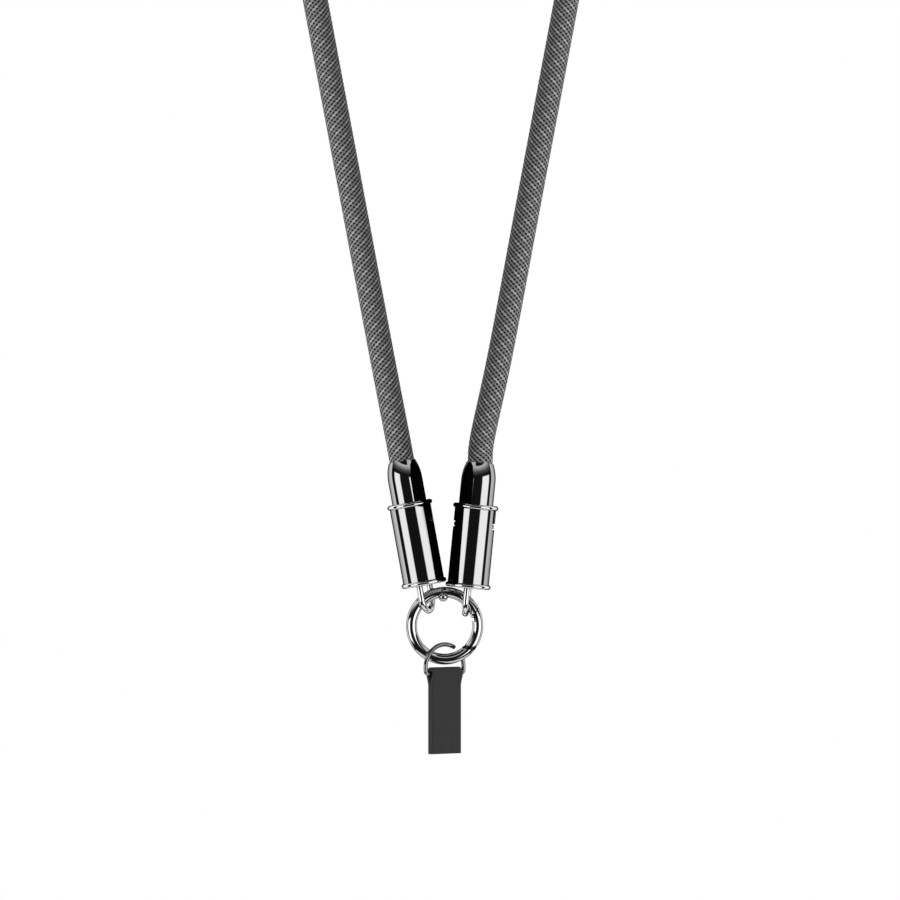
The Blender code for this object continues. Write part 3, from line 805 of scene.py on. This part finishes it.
def braided_tube_tree():
    """Geometry Nodes: a tube along a curve with the braid's ribs raised on it, UV round it and along it."""
    tree = bpy.data.node_groups.new("Braided tube", "GeometryNodeTree")
    face = tree.interface
    face.new_socket("Geometry", in_out="INPUT", socket_type="NodeSocketGeometry")
    for label, kind in (
        ("Diameter", "NodeSocketFloat"),
        ("Sides", "NodeSocketInt"),
        ("Rings", "NodeSocketInt"),
        ("Starts", "NodeSocketInt"),
        ("Pitch", "NodeSocketFloat"),
        ("Relief", "NodeSocketFloat"),
        ("Turnover", "NodeSocketFloat"),
        ("Material", "NodeSocketMaterial"),
    ):
        face.new_socket(label, in_out="INPUT", socket_type=kind)
    face.new_socket("Geometry", in_out="OUTPUT", socket_type="NodeSocketGeometry")
    nodes, link = tree.nodes, tree.links.new
    entry, leave = nodes.new("NodeGroupInput"), nodes.new("NodeGroupOutput")

    def store(geometry, label, value, domain, kind="FLOAT"):
        node = nodes.new("GeometryNodeStoreNamedAttribute")
        node.data_type = kind
        node.domain = domain
        node.inputs["Name"].default_value = label
        link(geometry, node.inputs["Geometry"])
        link(value, node.inputs["Value"])
        return node.outputs["Geometry"]

    def read(label):
        node = nodes.new("GeometryNodeInputNamedAttribute")
        node.data_type = "FLOAT"
        node.inputs["Name"].default_value = label
        return node.outputs["Attribute"]

    path = nodes.new("GeometryNodeResampleCurve")
    link(entry.outputs["Geometry"], path.inputs["Curve"])
    link(entry.outputs["Rings"], path.inputs["Count"])
    reach = nodes.new("GeometryNodeSplineParameter").outputs["Length"]
    whole = nodes.new("GeometryNodeSplineLength").outputs["Length"]
    from_nape = maths(tree, "SUBTRACT", reach, maths(tree, "DIVIDE", whole, 2.0))
    path_out = store(path.outputs["Curve"], "along", from_nape, "POINT")

    line = nodes.new("GeometryNodeCurvePrimitiveLine")
    ring = nodes.new("GeometryNodeResampleCurve")
    link(line.outputs["Curve"], ring.inputs["Curve"])
    link(maths(tree, "ADD", entry.outputs["Sides"], 1.0), ring.inputs["Count"])
    share = nodes.new("GeometryNodeSplineParameter").outputs["Factor"]
    ring_out = store(ring.outputs["Curve"], "around", share, "POINT")
    bend = nodes.new("GeometryNodeSetPosition")
    turn = maths(tree, "MULTIPLY", read("around"), 2 * math.pi)
    radius = maths(tree, "DIVIDE", entry.outputs["Diameter"], 2.0)
    place = nodes.new("ShaderNodeCombineXYZ")
    link(maths(tree, "MULTIPLY", maths(tree, "COSINE", turn), radius), place.inputs[0])
    link(maths(tree, "MULTIPLY", maths(tree, "SINE", turn), radius), place.inputs[1])
    link(ring_out, bend.inputs["Geometry"])
    link(place.outputs[0], bend.inputs["Position"])

    sweep = nodes.new("GeometryNodeCurveToMesh")
    link(path_out, sweep.inputs["Curve"])
    link(bend.outputs["Geometry"], sweep.inputs["Profile Curve"])
    uv = nodes.new("ShaderNodeCombineXYZ")
    link(read("around"), uv.inputs[0])
    link(read("along"), uv.inputs[1])
    mapped = store(sweep.outputs["Mesh"], "UVMap", uv.outputs[0], "CORNER", "FLOAT2")

    around = maths(tree, "MULTIPLY", read("around"), entry.outputs["Starts"])
    along = maths(tree, "DIVIDE", read("along"), entry.outputs["Pitch"])
    side = nodes.new("ShaderNodeMapRange")
    side.interpolation_type = "SMOOTHSTEP"
    link(read("along"), side.inputs["Value"])
    link(maths(tree, "MULTIPLY", entry.outputs["Turnover"], -1.0), side.inputs["From Min"])
    link(entry.outputs["Turnover"], side.inputs["From Max"])

    def ridge(operation):
        phase = maths(tree, operation, around, along)
        return maths(tree, "ABSOLUTE", maths(tree, "SINE", maths(tree, "MULTIPLY", phase, math.pi)))

    rib = nodes.new("ShaderNodeMix")
    link(side.outputs[0], rib.inputs[0])
    link(ridge("SUBTRACT"), rib.inputs[2])
    link(ridge("ADD"), rib.inputs[3])
    raised = maths(tree, "MULTIPLY", maths(tree, "SUBTRACT", rib.outputs[0], 0.5), entry.outputs["Relief"])
    shift = nodes.new("ShaderNodeVectorMath")
    shift.operation = "SCALE"
    link(nodes.new("GeometryNodeInputNormal").outputs[0], shift.inputs[0])
    link(raised, shift.inputs["Scale"])
    lift = nodes.new("GeometryNodeSetPosition")
    link(mapped, lift.inputs["Geometry"])
    link(shift.outputs[0], lift.inputs["Offset"])
    real = nodes.new("GeometryNodeRealizeInstances")
    link(lift.outputs["Geometry"], real.inputs["Geometry"])
    paint = nodes.new("GeometryNodeSetMaterial")
    link(real.outputs["Geometry"], paint.inputs["Geometry"])
    link(entry.outputs["Material"], paint.inputs["Material"])
    link(paint.outputs["Geometry"], leave.inputs["Geometry"])
    return tree


def painted_inner_shade(vert):
    """Painted shade: how much a point of the cord faces the other run, up to 1."""
    side = max(-1.0, min(1.0, vert.co.x / INNER_FADE))
    facing = -side * vert.normal.x * 0.5 + 0.5
    return max(0.0, min(1.0, (facing - 0.30) / 0.45)) * abs(side)


def make_cord(sizes, colours):
    places = [*reversed(half_route(sizes, -1)), cord_top(sizes), *half_route(sizes, 1)]
    route = smooth_route(places, 700)
    length = sum((b - a).length for a, b in zip(route, route[1:]))
    curve = bpy.data.curves.new("cord_route", "CURVE")
    curve.dimensions = "3D"
    spline = curve.splines.new("POLY")
    spline.points.add(len(route) - 1)
    for point, place in zip(spline.points, route):
        point.co = (*place, 1)
    guide = added("cord_route", curve)
    tree = braided_tube_tree()
    modifier = guide.modifiers.new("Braided tube", "NODES")
    modifier.node_group = tree
    finish = braid_material(sizes, colours)
    wanted = {
        "Diameter": sizes.cord_diameter,
        "Sides": 3 * sizes.rib_starts,
        "Rings": int(3 * length / sizes.rib_pitch),
        "Starts": sizes.rib_starts,
        "Pitch": sizes.rib_pitch,
        "Relief": sizes.rib_relief,
        "Turnover": BRAID_TURNOVER,
        "Material": finish,
    }
    for item in tree.interface.items_tree:
        if item.item_type == "SOCKET" and item.in_out == "INPUT" and item.name in wanted:
            modifier[item.identifier] = wanted[item.name]
    graph = bpy.context.evaluated_depsgraph_get()
    made = bpy.data.meshes.new_from_object(guide.evaluated_get(graph))
    bpy.data.objects.remove(guide)
    bm = bmesh.new()
    bm.from_mesh(made)
    bmesh.ops.remove_doubles(bm, verts=bm.verts, dist=2e-5)
    bmesh.ops.holes_fill(bm, edges=[edge for edge in bm.edges if edge.is_boundary])
    bmesh.ops.recalc_face_normals(bm, faces=bm.faces)
    bm.to_mesh(made)
    bm.free()
    for extra in ("along", "around"):
        attribute = made.attributes.get(extra)
        if attribute:
            made.attributes.remove(attribute)
    # Painted shade on the runs' inner sides
    marked(made, "painted_inner_shade", painted_inner_shade)
    if len(made.polygons) < 1000 or "UVMap" not in made.uv_layers:
        raise RuntimeError("the braided tube came out empty or without its UV map")
    dress("braided_cord", made, Matrix(), "lanyard", "grey_braid", finish, "cord", sharp=80)


# Bullets and sleeves


def bullet_mesh(s):
    mouth, barrel = s.mouth_diameter / 2, s.bullet_diameter / 2
    rise = barrel - mouth
    ogive = (s.nose_height**2 + rise**2) / (2 * rise)
    sweep = math.asin(s.nose_height / ogive)
    inner = mouth - 0.22 * MM
    lip = 0.11 * MM
    profile = [(0, -MOUTH_DEPTH), (inner, -MOUTH_DEPTH), (inner, -lip)]
    profile += arc((mouth - lip, -lip), lip, math.pi, 0.5 * math.pi * 0.2, 8)
    profile += arc((barrel - ogive, -s.nose_height), ogive, sweep * 0.985, 0, 28)
    bottom = -(s.bullet_shown + s.bullet_hidden)
    rows = 26
    for row in range(1, rows):
        profile.append((barrel, -s.nose_height + (bottom + s.nose_height) * row / rows))
    edge = 0.3 * MM
    profile += arc((barrel - edge, bottom + edge), edge, 0, -math.pi / 2, 5)
    profile.append((0, bottom))
    base = spun("bullet", profile, 128)
    steps = []
    height = -(s.bullet_shown + s.slot_drop)
    for number in range(2):
        angle = SLOT_TURN / 2 + number * math.pi
        way = Vector((math.cos(angle), math.sin(angle), 0))
        lift = Vector((0, 0, height))
        reach = sleeve_diameter(s) / 2 - s.pin_diameter / 10
        points = [way * s.bullet_diameter / 4 + lift, way * (reach - PIN_LIP) + lift]
        steps.append(("UNION", tube("pin", points, s.pin_diameter, 32, PIN_LIP)))
    return combined("bullet", base, steps)


def ring_sector(inner, outer, start, end, low, high, steps):
    outline = [*arc((0, 0), inner, start, end, steps), *arc((0, 0), outer, end, start, steps)]
    return extruded("sector", [(x, y, low) for x, y in outline], (0, 0, high - low))


def sleeve_mesh(s):
    wall = sleeve_diameter(s) / 2
    bore = wall - s.sleeve_wall
    bead = s.bead_wire / 2
    ring = s.bead_diameter / 2 - bead
    meet = math.acos((wall - ring) / bead)
    edge = 0.25 * MM
    profile = [(0, -bead * 0.72), (ring - bead * 0.75, -bead * 0.72)]
    profile += arc((ring, 0), bead, -math.pi * 0.74, meet, 20)
    rows = 36
    low, high = profile[-1][1], s.sleeve_length - bead * math.sin(meet)
    profile += [(wall, low + (high - low) * row / rows) for row in range(1, rows)]
    profile += arc((ring, s.sleeve_length), bead, -meet, math.pi * 0.72, 20)
    top = profile[-1][1]
    profile += arc((bore + edge, top - edge), edge, math.pi / 2, math.pi, 5)
    floor = SLEEVE_FLOOR - bead
    profile += [(bore, top - edge + (floor - top + edge) * row / 24) for row in range(1, 25)]
    profile.append((0, floor))
    base = spun("sleeve", profile, 144)
    bend = s.loop_reach - s.loop_wire / 2 - s.loop_half_width
    points = [Vector((0, s.loop_half_width, -bend * share)) for share in (0, 0.5)]
    points += [Vector((0, y, z)) for y, z in arc((0, -bend), s.loop_half_width, 0, -math.pi, 40)]
    points += [Vector((0, -s.loop_half_width, -bend * share)) for share in (0.5, 0)]
    steps = [("UNION", tube("loop", points, s.loop_wire, 28))]
    spread = (s.pin_diameter / 2 + GAP) / wall
    middle = s.sleeve_length - s.slot_drop
    half = s.slot_height / 2
    under = s.sleeve_length - bead
    above = s.sleeve_length + 2 * bead
    reach = wall - s.pin_diameter / 10 + GAP / 2
    for number in range(2):
        facing = number * math.pi
        first, last = facing - SLOT_TURN / 2, facing + SLOT_TURN / 2
        narrow = (first - spread, first + spread)
        wide = (first - spread, last + spread)
        level = ring_sector(wall / 2, s.bead_diameter, *wide, middle - half, middle + half, 12)
        upright = ring_sector(wall / 2, s.bead_diameter, *narrow, middle, under, 6)
        keyway = ring_sector(wall / 2, reach, *narrow, under - edge, above, 6)
        steps += [("DIFFERENCE", cut) for cut in (level, upright, keyway)]
    return combined("sleeve", base, steps)


# Ring and gate


def torus_mesh(s, steps=192, sides=48):
    profile = list(arc((s.ring_radius, 0), s.ring_wire / 2, 0, 2 * math.pi, sides))[:-1]
    mesh = spun("torus", profile, steps, closed=True)
    mesh.transform(Matrix.Rotation(math.pi / 2, 4, "X"))
    return mesh


def y_rod(place, diameter, length, steps=48):
    return y_prism("rod", list(arc(place, diameter / 2, 0, 2 * math.pi, steps))[:-1], length / 2)


def gate_reach(s):
    return (polar(s.ring_radius + s.ring_wire / 2, GATE_FOOT_OUTER) - hinge_place(s)).length


def foot_arc(s, reach, steps=40):
    return [Vector(point) for point in arc(hinge_place(s), reach, -60 * DEG, -125 * DEG, steps)]


def outer_corners(s):
    far = s.ring_radius + 2 * s.ring_wire
    return [polar(far, GATE_TOP_INNER), polar(far, (GATE_TOP_INNER + GATE_FOOT_OUTER) / 2)]


def gate_outline(s):
    _, along = seam_ends(s)
    away = Vector((along.y, -along.x))
    pivot = hinge_place(s) + away * GAP / 2
    notch = HINGE_INSET + 2 * GAP
    below = Matrix.Rotation(GATE_OPENING + 5 * DEG, 2) @ -along
    inside = Matrix.Rotation(-20 * DEG, 2) @ -along
    return [
        pivot + inside * notch,
        pivot + below * notch,
        pivot,
        pivot + along * 2 * s.ring_wire,
        *outer_corners(s),
        *foot_arc(s, gate_reach(s)),
    ]


def gap_outline(s):
    _, along = seam_ends(s)
    away = Vector((along.y, -along.x))
    pivot = hinge_place(s) - away * GAP / 2
    return [
        pivot - along * 2 * HINGE_INSET,
        pivot + along * 2 * s.ring_wire,
        *outer_corners(s),
        *foot_arc(s, gate_reach(s) - KEEPER),
    ]


def foot_band(s, inner, outer, low, high):
    outline = foot_arc(s, inner) + foot_arc(s, outer)[::-1]
    return extruded("band", [(x, low, z) for x, z in outline], (0, high - low, 0))


def seam_painted_shade(s):
    """Painted shade in the seam at the gate's foot."""
    pivot, reach = hinge_place(s), gate_reach(s)

    def measure(vert):
        x, z = vert.co.x, vert.co.z
        off = (Vector((x, z)) - pivot).length - reach
        return x > 0 and z < 0 and -KEEPER - GAP - NEAR < off < SEAM + 2 * NEAR

    return measure


def make_ring(s, colours):
    finish = chrome_material(colours)
    pivot = hinge_place(s)
    wide = 2 * s.ring_wire
    thin = LUG_THICKNESS / 2
    reach = gate_reach(s)
    ball = spun("ball", list(arc((0, 0), s.ball_diameter / 2, -math.pi / 2, math.pi / 2, 24)), 48)
    place = polar(s.ring_radius - BALL_INSET, BALL_ANGLE)
    ball.transform(Matrix.Translation((place.x, -BALL_FORWARD, place.y)))
    steps = [
        ("DIFFERENCE", y_prism("gap", gap_outline(s), wide)),
        ("DIFFERENCE", foot_band(s, reach - KEEPER - GAP, reach + SEAM, -wide, -thin)),
        ("DIFFERENCE", foot_band(s, reach - KEEPER - GAP, reach + SEAM, thin, wide)),
        ("UNION", y_rod(pivot, LUG_DIAMETER, LUG_THICKNESS)),
        ("DIFFERENCE", y_rod(pivot, HINGE_HOLE, 2 * wide)),
        ("UNION", ball),
    ]
    place = ring_frame(s)
    mesh = marked(combined("gate_ring", torus_mesh(s), steps), "polish", lambda vert: RING_POLISH)
    # Painted shade in the seam at the gate's foot
    marked(mesh, "seam_shade_and_dark_tone", seam_painted_shade(s))
    dress("gate_ring", mesh, place, "ring", "gunmetal_chrome", finish, "o_ring")
    steps = [
        ("INTERSECT", y_prism("moving", gate_outline(s), wide)),
        ("DIFFERENCE", foot_band(s, reach - KEEPER - GAP, reach + GAP, -thin - GAP, thin + GAP)),
        ("DIFFERENCE", y_rod(pivot, LUG_DIAMETER + 2 * GAP, LUG_THICKNESS + 2 * GAP)),
        ("UNION", y_rod(pivot, HINGE_PIN, LUG_THICKNESS + 4 * GAP)),
    ]
    mesh = marked(combined("gate", torus_mesh(s), steps), "polish", lambda vert: RING_POLISH)
    # Painted shade in the seam at the gate's foot
    marked(mesh, "seam_shade_and_dark_tone", seam_painted_shade(s))
    dress("gate", mesh, place, "gate", "gunmetal_chrome", finish, "ring_gate")


# D ring and strap


def d_points(s):
    reach = s.d_half_width - s.d_corner

    def arch(start, end, steps):
        for across, up in arc((0, 0), 1, start, end, steps):
            yield (s.d_half_width * across, s.d_arch * up)

    points = list(arch(D_SPLIT_FROM, 0, 18))
    points += arc((reach, -s.d_shoulder), s.d_corner, 0, -math.pi / 2, 12)
    points += arc((-reach, -s.d_shoulder), s.d_corner, 1.5 * math.pi, math.pi, 12)
    points += arch(math.pi, D_SPLIT_TO, 44)
    kept = [points[0]]
    kept += [there for here, there in zip(points, points[1:]) if math.dist(here, there) > GAP / 10]
    return [Vector((x, 0, z)) for x, z in kept]


def strap_path(s):
    """The middle line of the folded strap, seen from its edge: up one side, round the bar and down again."""
    half = s.strap_thickness / 2
    middle = s.d_wire / 2 + GAP * 0.8 + half
    closing = -STRAP_CLOSING
    rows = 16
    shares = (0, 0.2, 0.4, 0.6, 0.8)

    def spreading(share):
        return half + (middle - half) * share * share * (3 - 2 * share)

    path = [(-half, -s.strap_length + (closing + s.strap_length) * row / rows) for row in range(rows)]
    path += [(-spreading(share), closing * (1 - share)) for share in shares]
    path += arc((0, 0), middle, math.pi, 0, 24)
    path += [(spreading(share), closing * (1 - share)) for share in reversed(shares)]
    path += [(half, closing - (closing + s.strap_length) * row / rows) for row in range(1, rows + 1)]
    return [Vector(point) for point in path]


def strap_section(s):
    """The strap's section across its width, with rounded long edges."""
    thick = s.strap_thickness * 0.485
    edge = thick * 0.55
    flat = s.strap_width / 2 - edge
    columns = 12
    bends = (-60 * DEG, -25 * DEG, 25 * DEG, 60 * DEG)
    section = [(-flat + 2 * flat * column / columns, -thick) for column in range(columns + 1)]
    section += [(flat + edge * math.cos(bend), thick * math.sin(bend)) for bend in bends]
    section += [(flat - 2 * flat * column / columns, thick) for column in range(columns + 1)]
    section += [(-flat - edge * math.cos(bend), thick * math.sin(bend)) for bend in reversed(bends)]
    return section


def strap_mesh(s):
    """The folded strap: its section carried along its path, with UV in metres across and along it."""
    points, section = strap_path(s), strap_section(s)
    lengths = [0.0]
    for here, there in zip(points, points[1:]):
        lengths.append(lengths[-1] + (there - here).length)
    bm = bmesh.new()
    layer = bm.loops.layers.uv.new("UVMap")
    rings, where = [], {}
    for number, point in enumerate(points):
        before, after = points[max(number - 1, 0)], points[min(number + 1, len(points) - 1)]
        tangent = (after - before).normalized()
        normal = Vector((-tangent.y, tangent.x))
        ring = []
        for across, out in section:
            spot = point + normal * out
            vert = bm.verts.new((across, spot.x, spot.y))
            where[vert] = (across, lengths[number])
            ring.append(vert)
        rings.append(ring)
    for here, there in zip(rings, rings[1:]):
        for number in range(len(section)):
            after = (number + 1) % len(section)
            bm.faces.new((here[number], here[after], there[after], there[number]))
    bm.faces.new(rings[0])
    bm.faces.new(rings[-1])
    for face in bm.faces:
        for loop in face.loops:
            loop[layer].uv = where[loop.vert]
    bmesh.ops.recalc_face_normals(bm, faces=bm.faces)
    mesh = bpy.data.meshes.new("strap")
    bm.to_mesh(mesh)
    bm.free()
    return mesh


# Operators


class MakeStage(bpy.types.Operator):
    """Set the pale floor, the studio's light and the camera"""

    bl_idname = "lanyard.make_stage"
    bl_label = "Stage"

    def execute(self, context):
        colours = context.scene.lanyard_colours
        sizes = context.scene.lanyard_sizes
        context.scene.view_settings.view_transform = "Standard"
        bm = bmesh.new()
        bmesh.ops.create_circle(bm, cap_ends=True, segments=96, radius=FLOOR_RADIUS)
        mesh = bpy.data.meshes.new("floor")
        bm.to_mesh(mesh)
        bm.free()
        mesh.transform(Matrix.Translation((0, 0, cad_box[0][2] - FLOOR_DROP)))
        floor = added("floor", mesh)
        made, tree, shader = blank_material("studio_floor")
        grain = noise(tree, object_coordinates(tree), 6.0)
        pale = tuple(colours.floor)
        tree.links.new(mixed(tree, grain, tuple(c * 0.97 for c in pale), pale), shader.inputs["Base Color"])
        shader.inputs["Roughness"].default_value = 0.8
        mesh.materials.append(made)
        self.black_card(sizes)
        self.light(context)
        camera = bpy.data.cameras.new("camera")
        camera.sensor_width = SENSOR
        camera.lens = SENSOR * CAMERA_DISTANCE / (PICTURE * PIXEL)
        obj = added("camera", camera)
        mouth = -(NECK_DROP + RUN_HEIGHT)
        obj.location = (CAMERA_RIGHT, front(sizes) - CAMERA_DISTANCE, mouth + CAMERA_UP)
        obj.rotation_euler = (math.pi / 2, 0, 0)
        context.scene.camera = obj
        return {"FINISHED"}

    def black_card(self, sizes):
        """A thin black card between the sleeves that only reflections see; it stands in for the shade between
        them.
        """
        left, right = sleeve_frame(sizes, -1), sleeve_frame(sizes, 1)
        front_edge, back_edge = [], []
        for height, reach in BLACK_CARD:
            middle = (left @ Vector((0, 0, height)) + right @ Vector((0, 0, height))) / 2
            front_edge.append(middle - Vector((0, reach, 0)))
            back_edge.append(middle + Vector((0, CARD_BACK, 0)))
        mesh = bpy.data.meshes.new("black_card")
        mesh.from_pydata([*front_edge, *back_edge[::-1]], [], [list(range(2 * len(BLACK_CARD)))])
        card = added("black_card", mesh)
        made, tree, shader = blank_material("studio_black")
        grain = noise(tree, object_coordinates(tree), 40.0)
        black = mixed(tree, grain, (0.0, 0.0, 0.0), (0.004, 0.004, 0.004))
        tree.links.new(black, shader.inputs["Base Color"])
        shader.inputs["Roughness"].default_value = 1.0
        shader.inputs["Specular IOR Level"].default_value = 0.0
        mesh.materials.append(made)
        for ray in ("camera", "diffuse", "shadow", "transmission"):
            setattr(card, f"visible_{ray}", False)

    def light(self, context):
        """The studio in the world: reflections see its cards and walls, all else gets plain soft light."""
        world = bpy.data.worlds.new("studio")
        world.use_nodes = True
        tree = world.node_tree
        way = tree.nodes.new("ShaderNodeTexCoord").outputs["Generated"]
        split = tree.nodes.new("ShaderNodeSeparateXYZ")
        tree.links.new(way, split.inputs[0])
        turn = maths(tree, "ARCTAN2", split.outputs[0], maths(tree, "MULTIPLY", split.outputs[1], -1.0))
        turn = maths(tree, "MULTIPLY", turn, 180 / math.pi)
        height = maths(tree, "MULTIPLY", maths(tree, "ARCSINE", split.outputs[2]), 180 / math.pi)
        off_front = maths(tree, "ABSOLUTE", turn)

        def falling(value, low, high):
            return maths(tree, "SUBTRACT", 1.0, stepped(tree, value, low, high))

        cards = self.ramp(tree, turn, -180, 180, CARDS)
        level = maths(tree, "MULTIPLY", stepped(tree, height, -30, -24), falling(height, 8, 11))
        cards = maths(tree, "MULTIPLY", maths(tree, "MULTIPLY", cards, level), CARD_LIGHT)
        walls = self.ramp(tree, turn, -180, 180, WALLS)
        walls = maths(tree, "MULTIPLY", walls, stepped(tree, height, -45, -25))
        walls = maths(tree, "MULTIPLY", walls, WALL_LIGHT)
        above = self.ramp(tree, height, 0, 90, OVERHEAD)
        above = maths(tree, "MULTIPLY", above, falling(off_front, 84, 90))
        across = maths(tree, "ABSOLUTE", split.outputs[0])
        dark = maths(tree, "MULTIPLY", stepped(tree, height, 38, 40), falling(across, 0.42, 0.47))
        above = maths(tree, "MULTIPLY", above, maths(tree, "SUBTRACT", 1.0, dark))
        below = maths(tree, "MULTIPLY", falling(height, -70, -45), BELOW_LIGHT)
        total = maths(tree, "ADD", maths(tree, "ADD", cards, walls), maths(tree, "ADD", above, below))
        total = maths(tree, "ADD", total, LEAST_LIGHT)
        soft = maths(tree, "MULTIPLY_ADD", maths(tree, "COSINE", maths(tree, "RADIANS", turn)), 0.25, 0.85)
        soft = maths(tree, "MULTIPLY_ADD", split.outputs[2], 0.25, soft)
        rays = tree.nodes.new("ShaderNodeLightPath")
        seen = None
        for fact, light in (("", soft), ("Is Glossy Ray", total), ("Is Camera Ray", 1.0)):
            node = tree.nodes["Background"] if not fact else tree.nodes.new("ShaderNodeBackground")
            if isinstance(light, float):
                node.inputs["Color"].default_value = (light, light, light, 1)
            else:
                tree.links.new(light, node.inputs["Strength"])
                node.inputs["Color"].default_value = (1, 1, 1, 1)
            if seen is None:
                seen = node.outputs[0]
                continue
            pick = tree.nodes.new("ShaderNodeMixShader")
            tree.links.new(rays.outputs[fact], pick.inputs[0])
            tree.links.new(seen, pick.inputs[1])
            tree.links.new(node.outputs[0], pick.inputs[2])
            seen = pick.outputs[0]
        tree.links.new(seen, tree.nodes["World Output"].inputs["Surface"])
        context.scene.world = world

    def ramp(self, tree, value, low, high, rows):
        """A brightness read from a table by angle."""
        node = tree.nodes.new("ShaderNodeValToRGB")
        stops = node.color_ramp.elements
        stops.remove(stops[1])
        for number, (degrees, level) in enumerate(rows):
            place = (degrees - low) / (high - low)
            stop = stops[0] if number == 0 else stops.new(place)
            stop.position = place
            stop.color = (level, level, level, 1)
        share = maths(tree, "DIVIDE", maths(tree, "SUBTRACT", value, low), high - low)
        tree.links.new(share, node.inputs[0])
        return node.outputs[0]


class MakeCord(bpy.types.Operator):
    """Weave the braided cable along its worn route"""

    bl_idname = "lanyard.make_cord"
    bl_label = "Braided cord"

    def execute(self, context):
        make_cord(context.scene.lanyard_sizes, context.scene.lanyard_colours)
        return {"FINISHED"}


class MakeBullets(bpy.types.Operator):
    """Turn the two bullet ferrules with their bayonet pins"""

    bl_idname = "lanyard.make_bullets"
    bl_label = "Bullets"

    def execute(self, context):
        sizes = context.scene.lanyard_sizes
        finish = chrome_material(context.scene.lanyard_colours)
        for side, name in ((-1, "left"), (1, "right")):
            place = sleeve_frame(sizes, side) @ Matrix.Translation((0, 0, axis_length(sizes)))
            mesh = bullet_mesh(sizes)
            dress(f"{name}_ferrule", mesh, place, "lanyard", "gunmetal_chrome", finish, f"{name}_bullet")
        return {"FINISHED"}


class MakeSleeves(bpy.types.Operator):
    """Turn the two bayonet sleeves with their slots, beads and loops"""

    bl_idname = "lanyard.make_sleeves"
    bl_label = "Sleeves"

    def execute(self, context):
        sizes = context.scene.lanyard_sizes
        finish = chrome_material(context.scene.lanyard_colours)
        bead, wall = sizes.bead_wire / 2, sleeve_diameter(sizes) / 2

        def on_bead_or_loop(vert):
            return vert.co.z < -bead or vert.co.xy.length > wall + NEAR

        for side, name in ((-1, "left"), (1, "right")):
            place = sleeve_frame(sizes, side)
            mesh = marked(sleeve_mesh(sizes), "polish", on_bead_or_loop)
            dress(f"{name}_holder", mesh, place, "lanyard", "gunmetal_chrome", finish, f"{name}_sleeve")
        return {"FINISHED"}


class MakeRing(bpy.types.Operator):
    """Make the gate ring with its ball, and its gate"""

    bl_idname = "lanyard.make_ring"
    bl_label = "Ring and gate"

    def execute(self, context):
        make_ring(context.scene.lanyard_sizes, context.scene.lanyard_colours)
        return {"FINISHED"}


class MakeDRing(bpy.types.Operator):
    """Bend the split D ring"""

    bl_idname = "lanyard.make_d_ring"
    bl_label = "D ring"

    def execute(self, context):
        sizes = context.scene.lanyard_sizes
        finish = chrome_material(context.scene.lanyard_colours)
        mesh = marked(tube("d_ring", d_points(sizes), sizes.d_wire, 28), "seam_shade_and_dark_tone", lambda vert: D_DARK_TONE)
        dress("split_d_ring", mesh, d_frame(sizes), "tab", "gunmetal_chrome", finish, "d_ring")
        return {"FINISHED"}


class MakeStrap(bpy.types.Operator):
    """Fold the strap tab round the D ring's bar"""

    bl_idname = "lanyard.make_strap"
    bl_label = "Strap tab"

    def execute(self, context):
        sizes = context.scene.lanyard_sizes
        place = d_frame(sizes) @ Matrix.Translation((0, 0, -(sizes.d_shoulder + sizes.d_corner)))
        finish = strap_material(context.scene.lanyard_colours)
        mesh = strap_mesh(sizes)
        dress("folded_strap", mesh, place, "tab", "charcoal_strap", finish, "strap_tab", sharp=60)
        return {"FINISHED"}


class FinishPlugs(bpy.types.Operator):
    """Give the hidden plug shells their steel"""

    bl_idname = "lanyard.finish_plugs"
    bl_label = "Plugs"

    def execute(self, context):
        finish = steel_material(context.scene.lanyard_colours)
        for name in ("left_plug", "right_plug"):
            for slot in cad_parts[name].material_slots:
                slot.material = finish
        return {"FINISHED"}


STEPS = (MakeStage, MakeCord, MakeBullets, MakeSleeves, MakeRing, MakeDRing, MakeStrap, FinishPlugs)


class LanyardPanel(bpy.types.Panel):
    """Lists the lanyard's pieces"""

    bl_idname = "VIEW3D_PT_lanyard"
    bl_label = "Charging cable lanyard"
    bl_space_type = "VIEW_3D"
    bl_region_type = "UI"
    bl_category = "Lanyard"

    def draw(self, context):
        for step in STEPS:
            self.layout.operator(step.bl_idname)
        for group in (context.scene.lanyard_sizes, context.scene.lanyard_colours):
            box = self.layout.box()
            for name in group.bl_rna.properties.keys():
                if name not in ("rna_type", "name"):
                    box.prop(group, name)


CLASSES = (LanyardSizes, LanyardColours, *STEPS, LanyardPanel)


def register():
    for item in CLASSES:
        bpy.utils.register_class(item)
    bpy.types.Scene.lanyard_sizes = PointerProperty(type=LanyardSizes)
    bpy.types.Scene.lanyard_colours = PointerProperty(type=LanyardColours)


def unregister():
    del bpy.types.Scene.lanyard_colours
    del bpy.types.Scene.lanyard_sizes
    for item in reversed(CLASSES):
        bpy.utils.unregister_class(item)


def main():
    register()
    for step in STEPS:
        group, name = step.bl_idname.split(".")
        getattr(getattr(bpy.ops, group), name)()


if __name__ == "__main__":
    main()
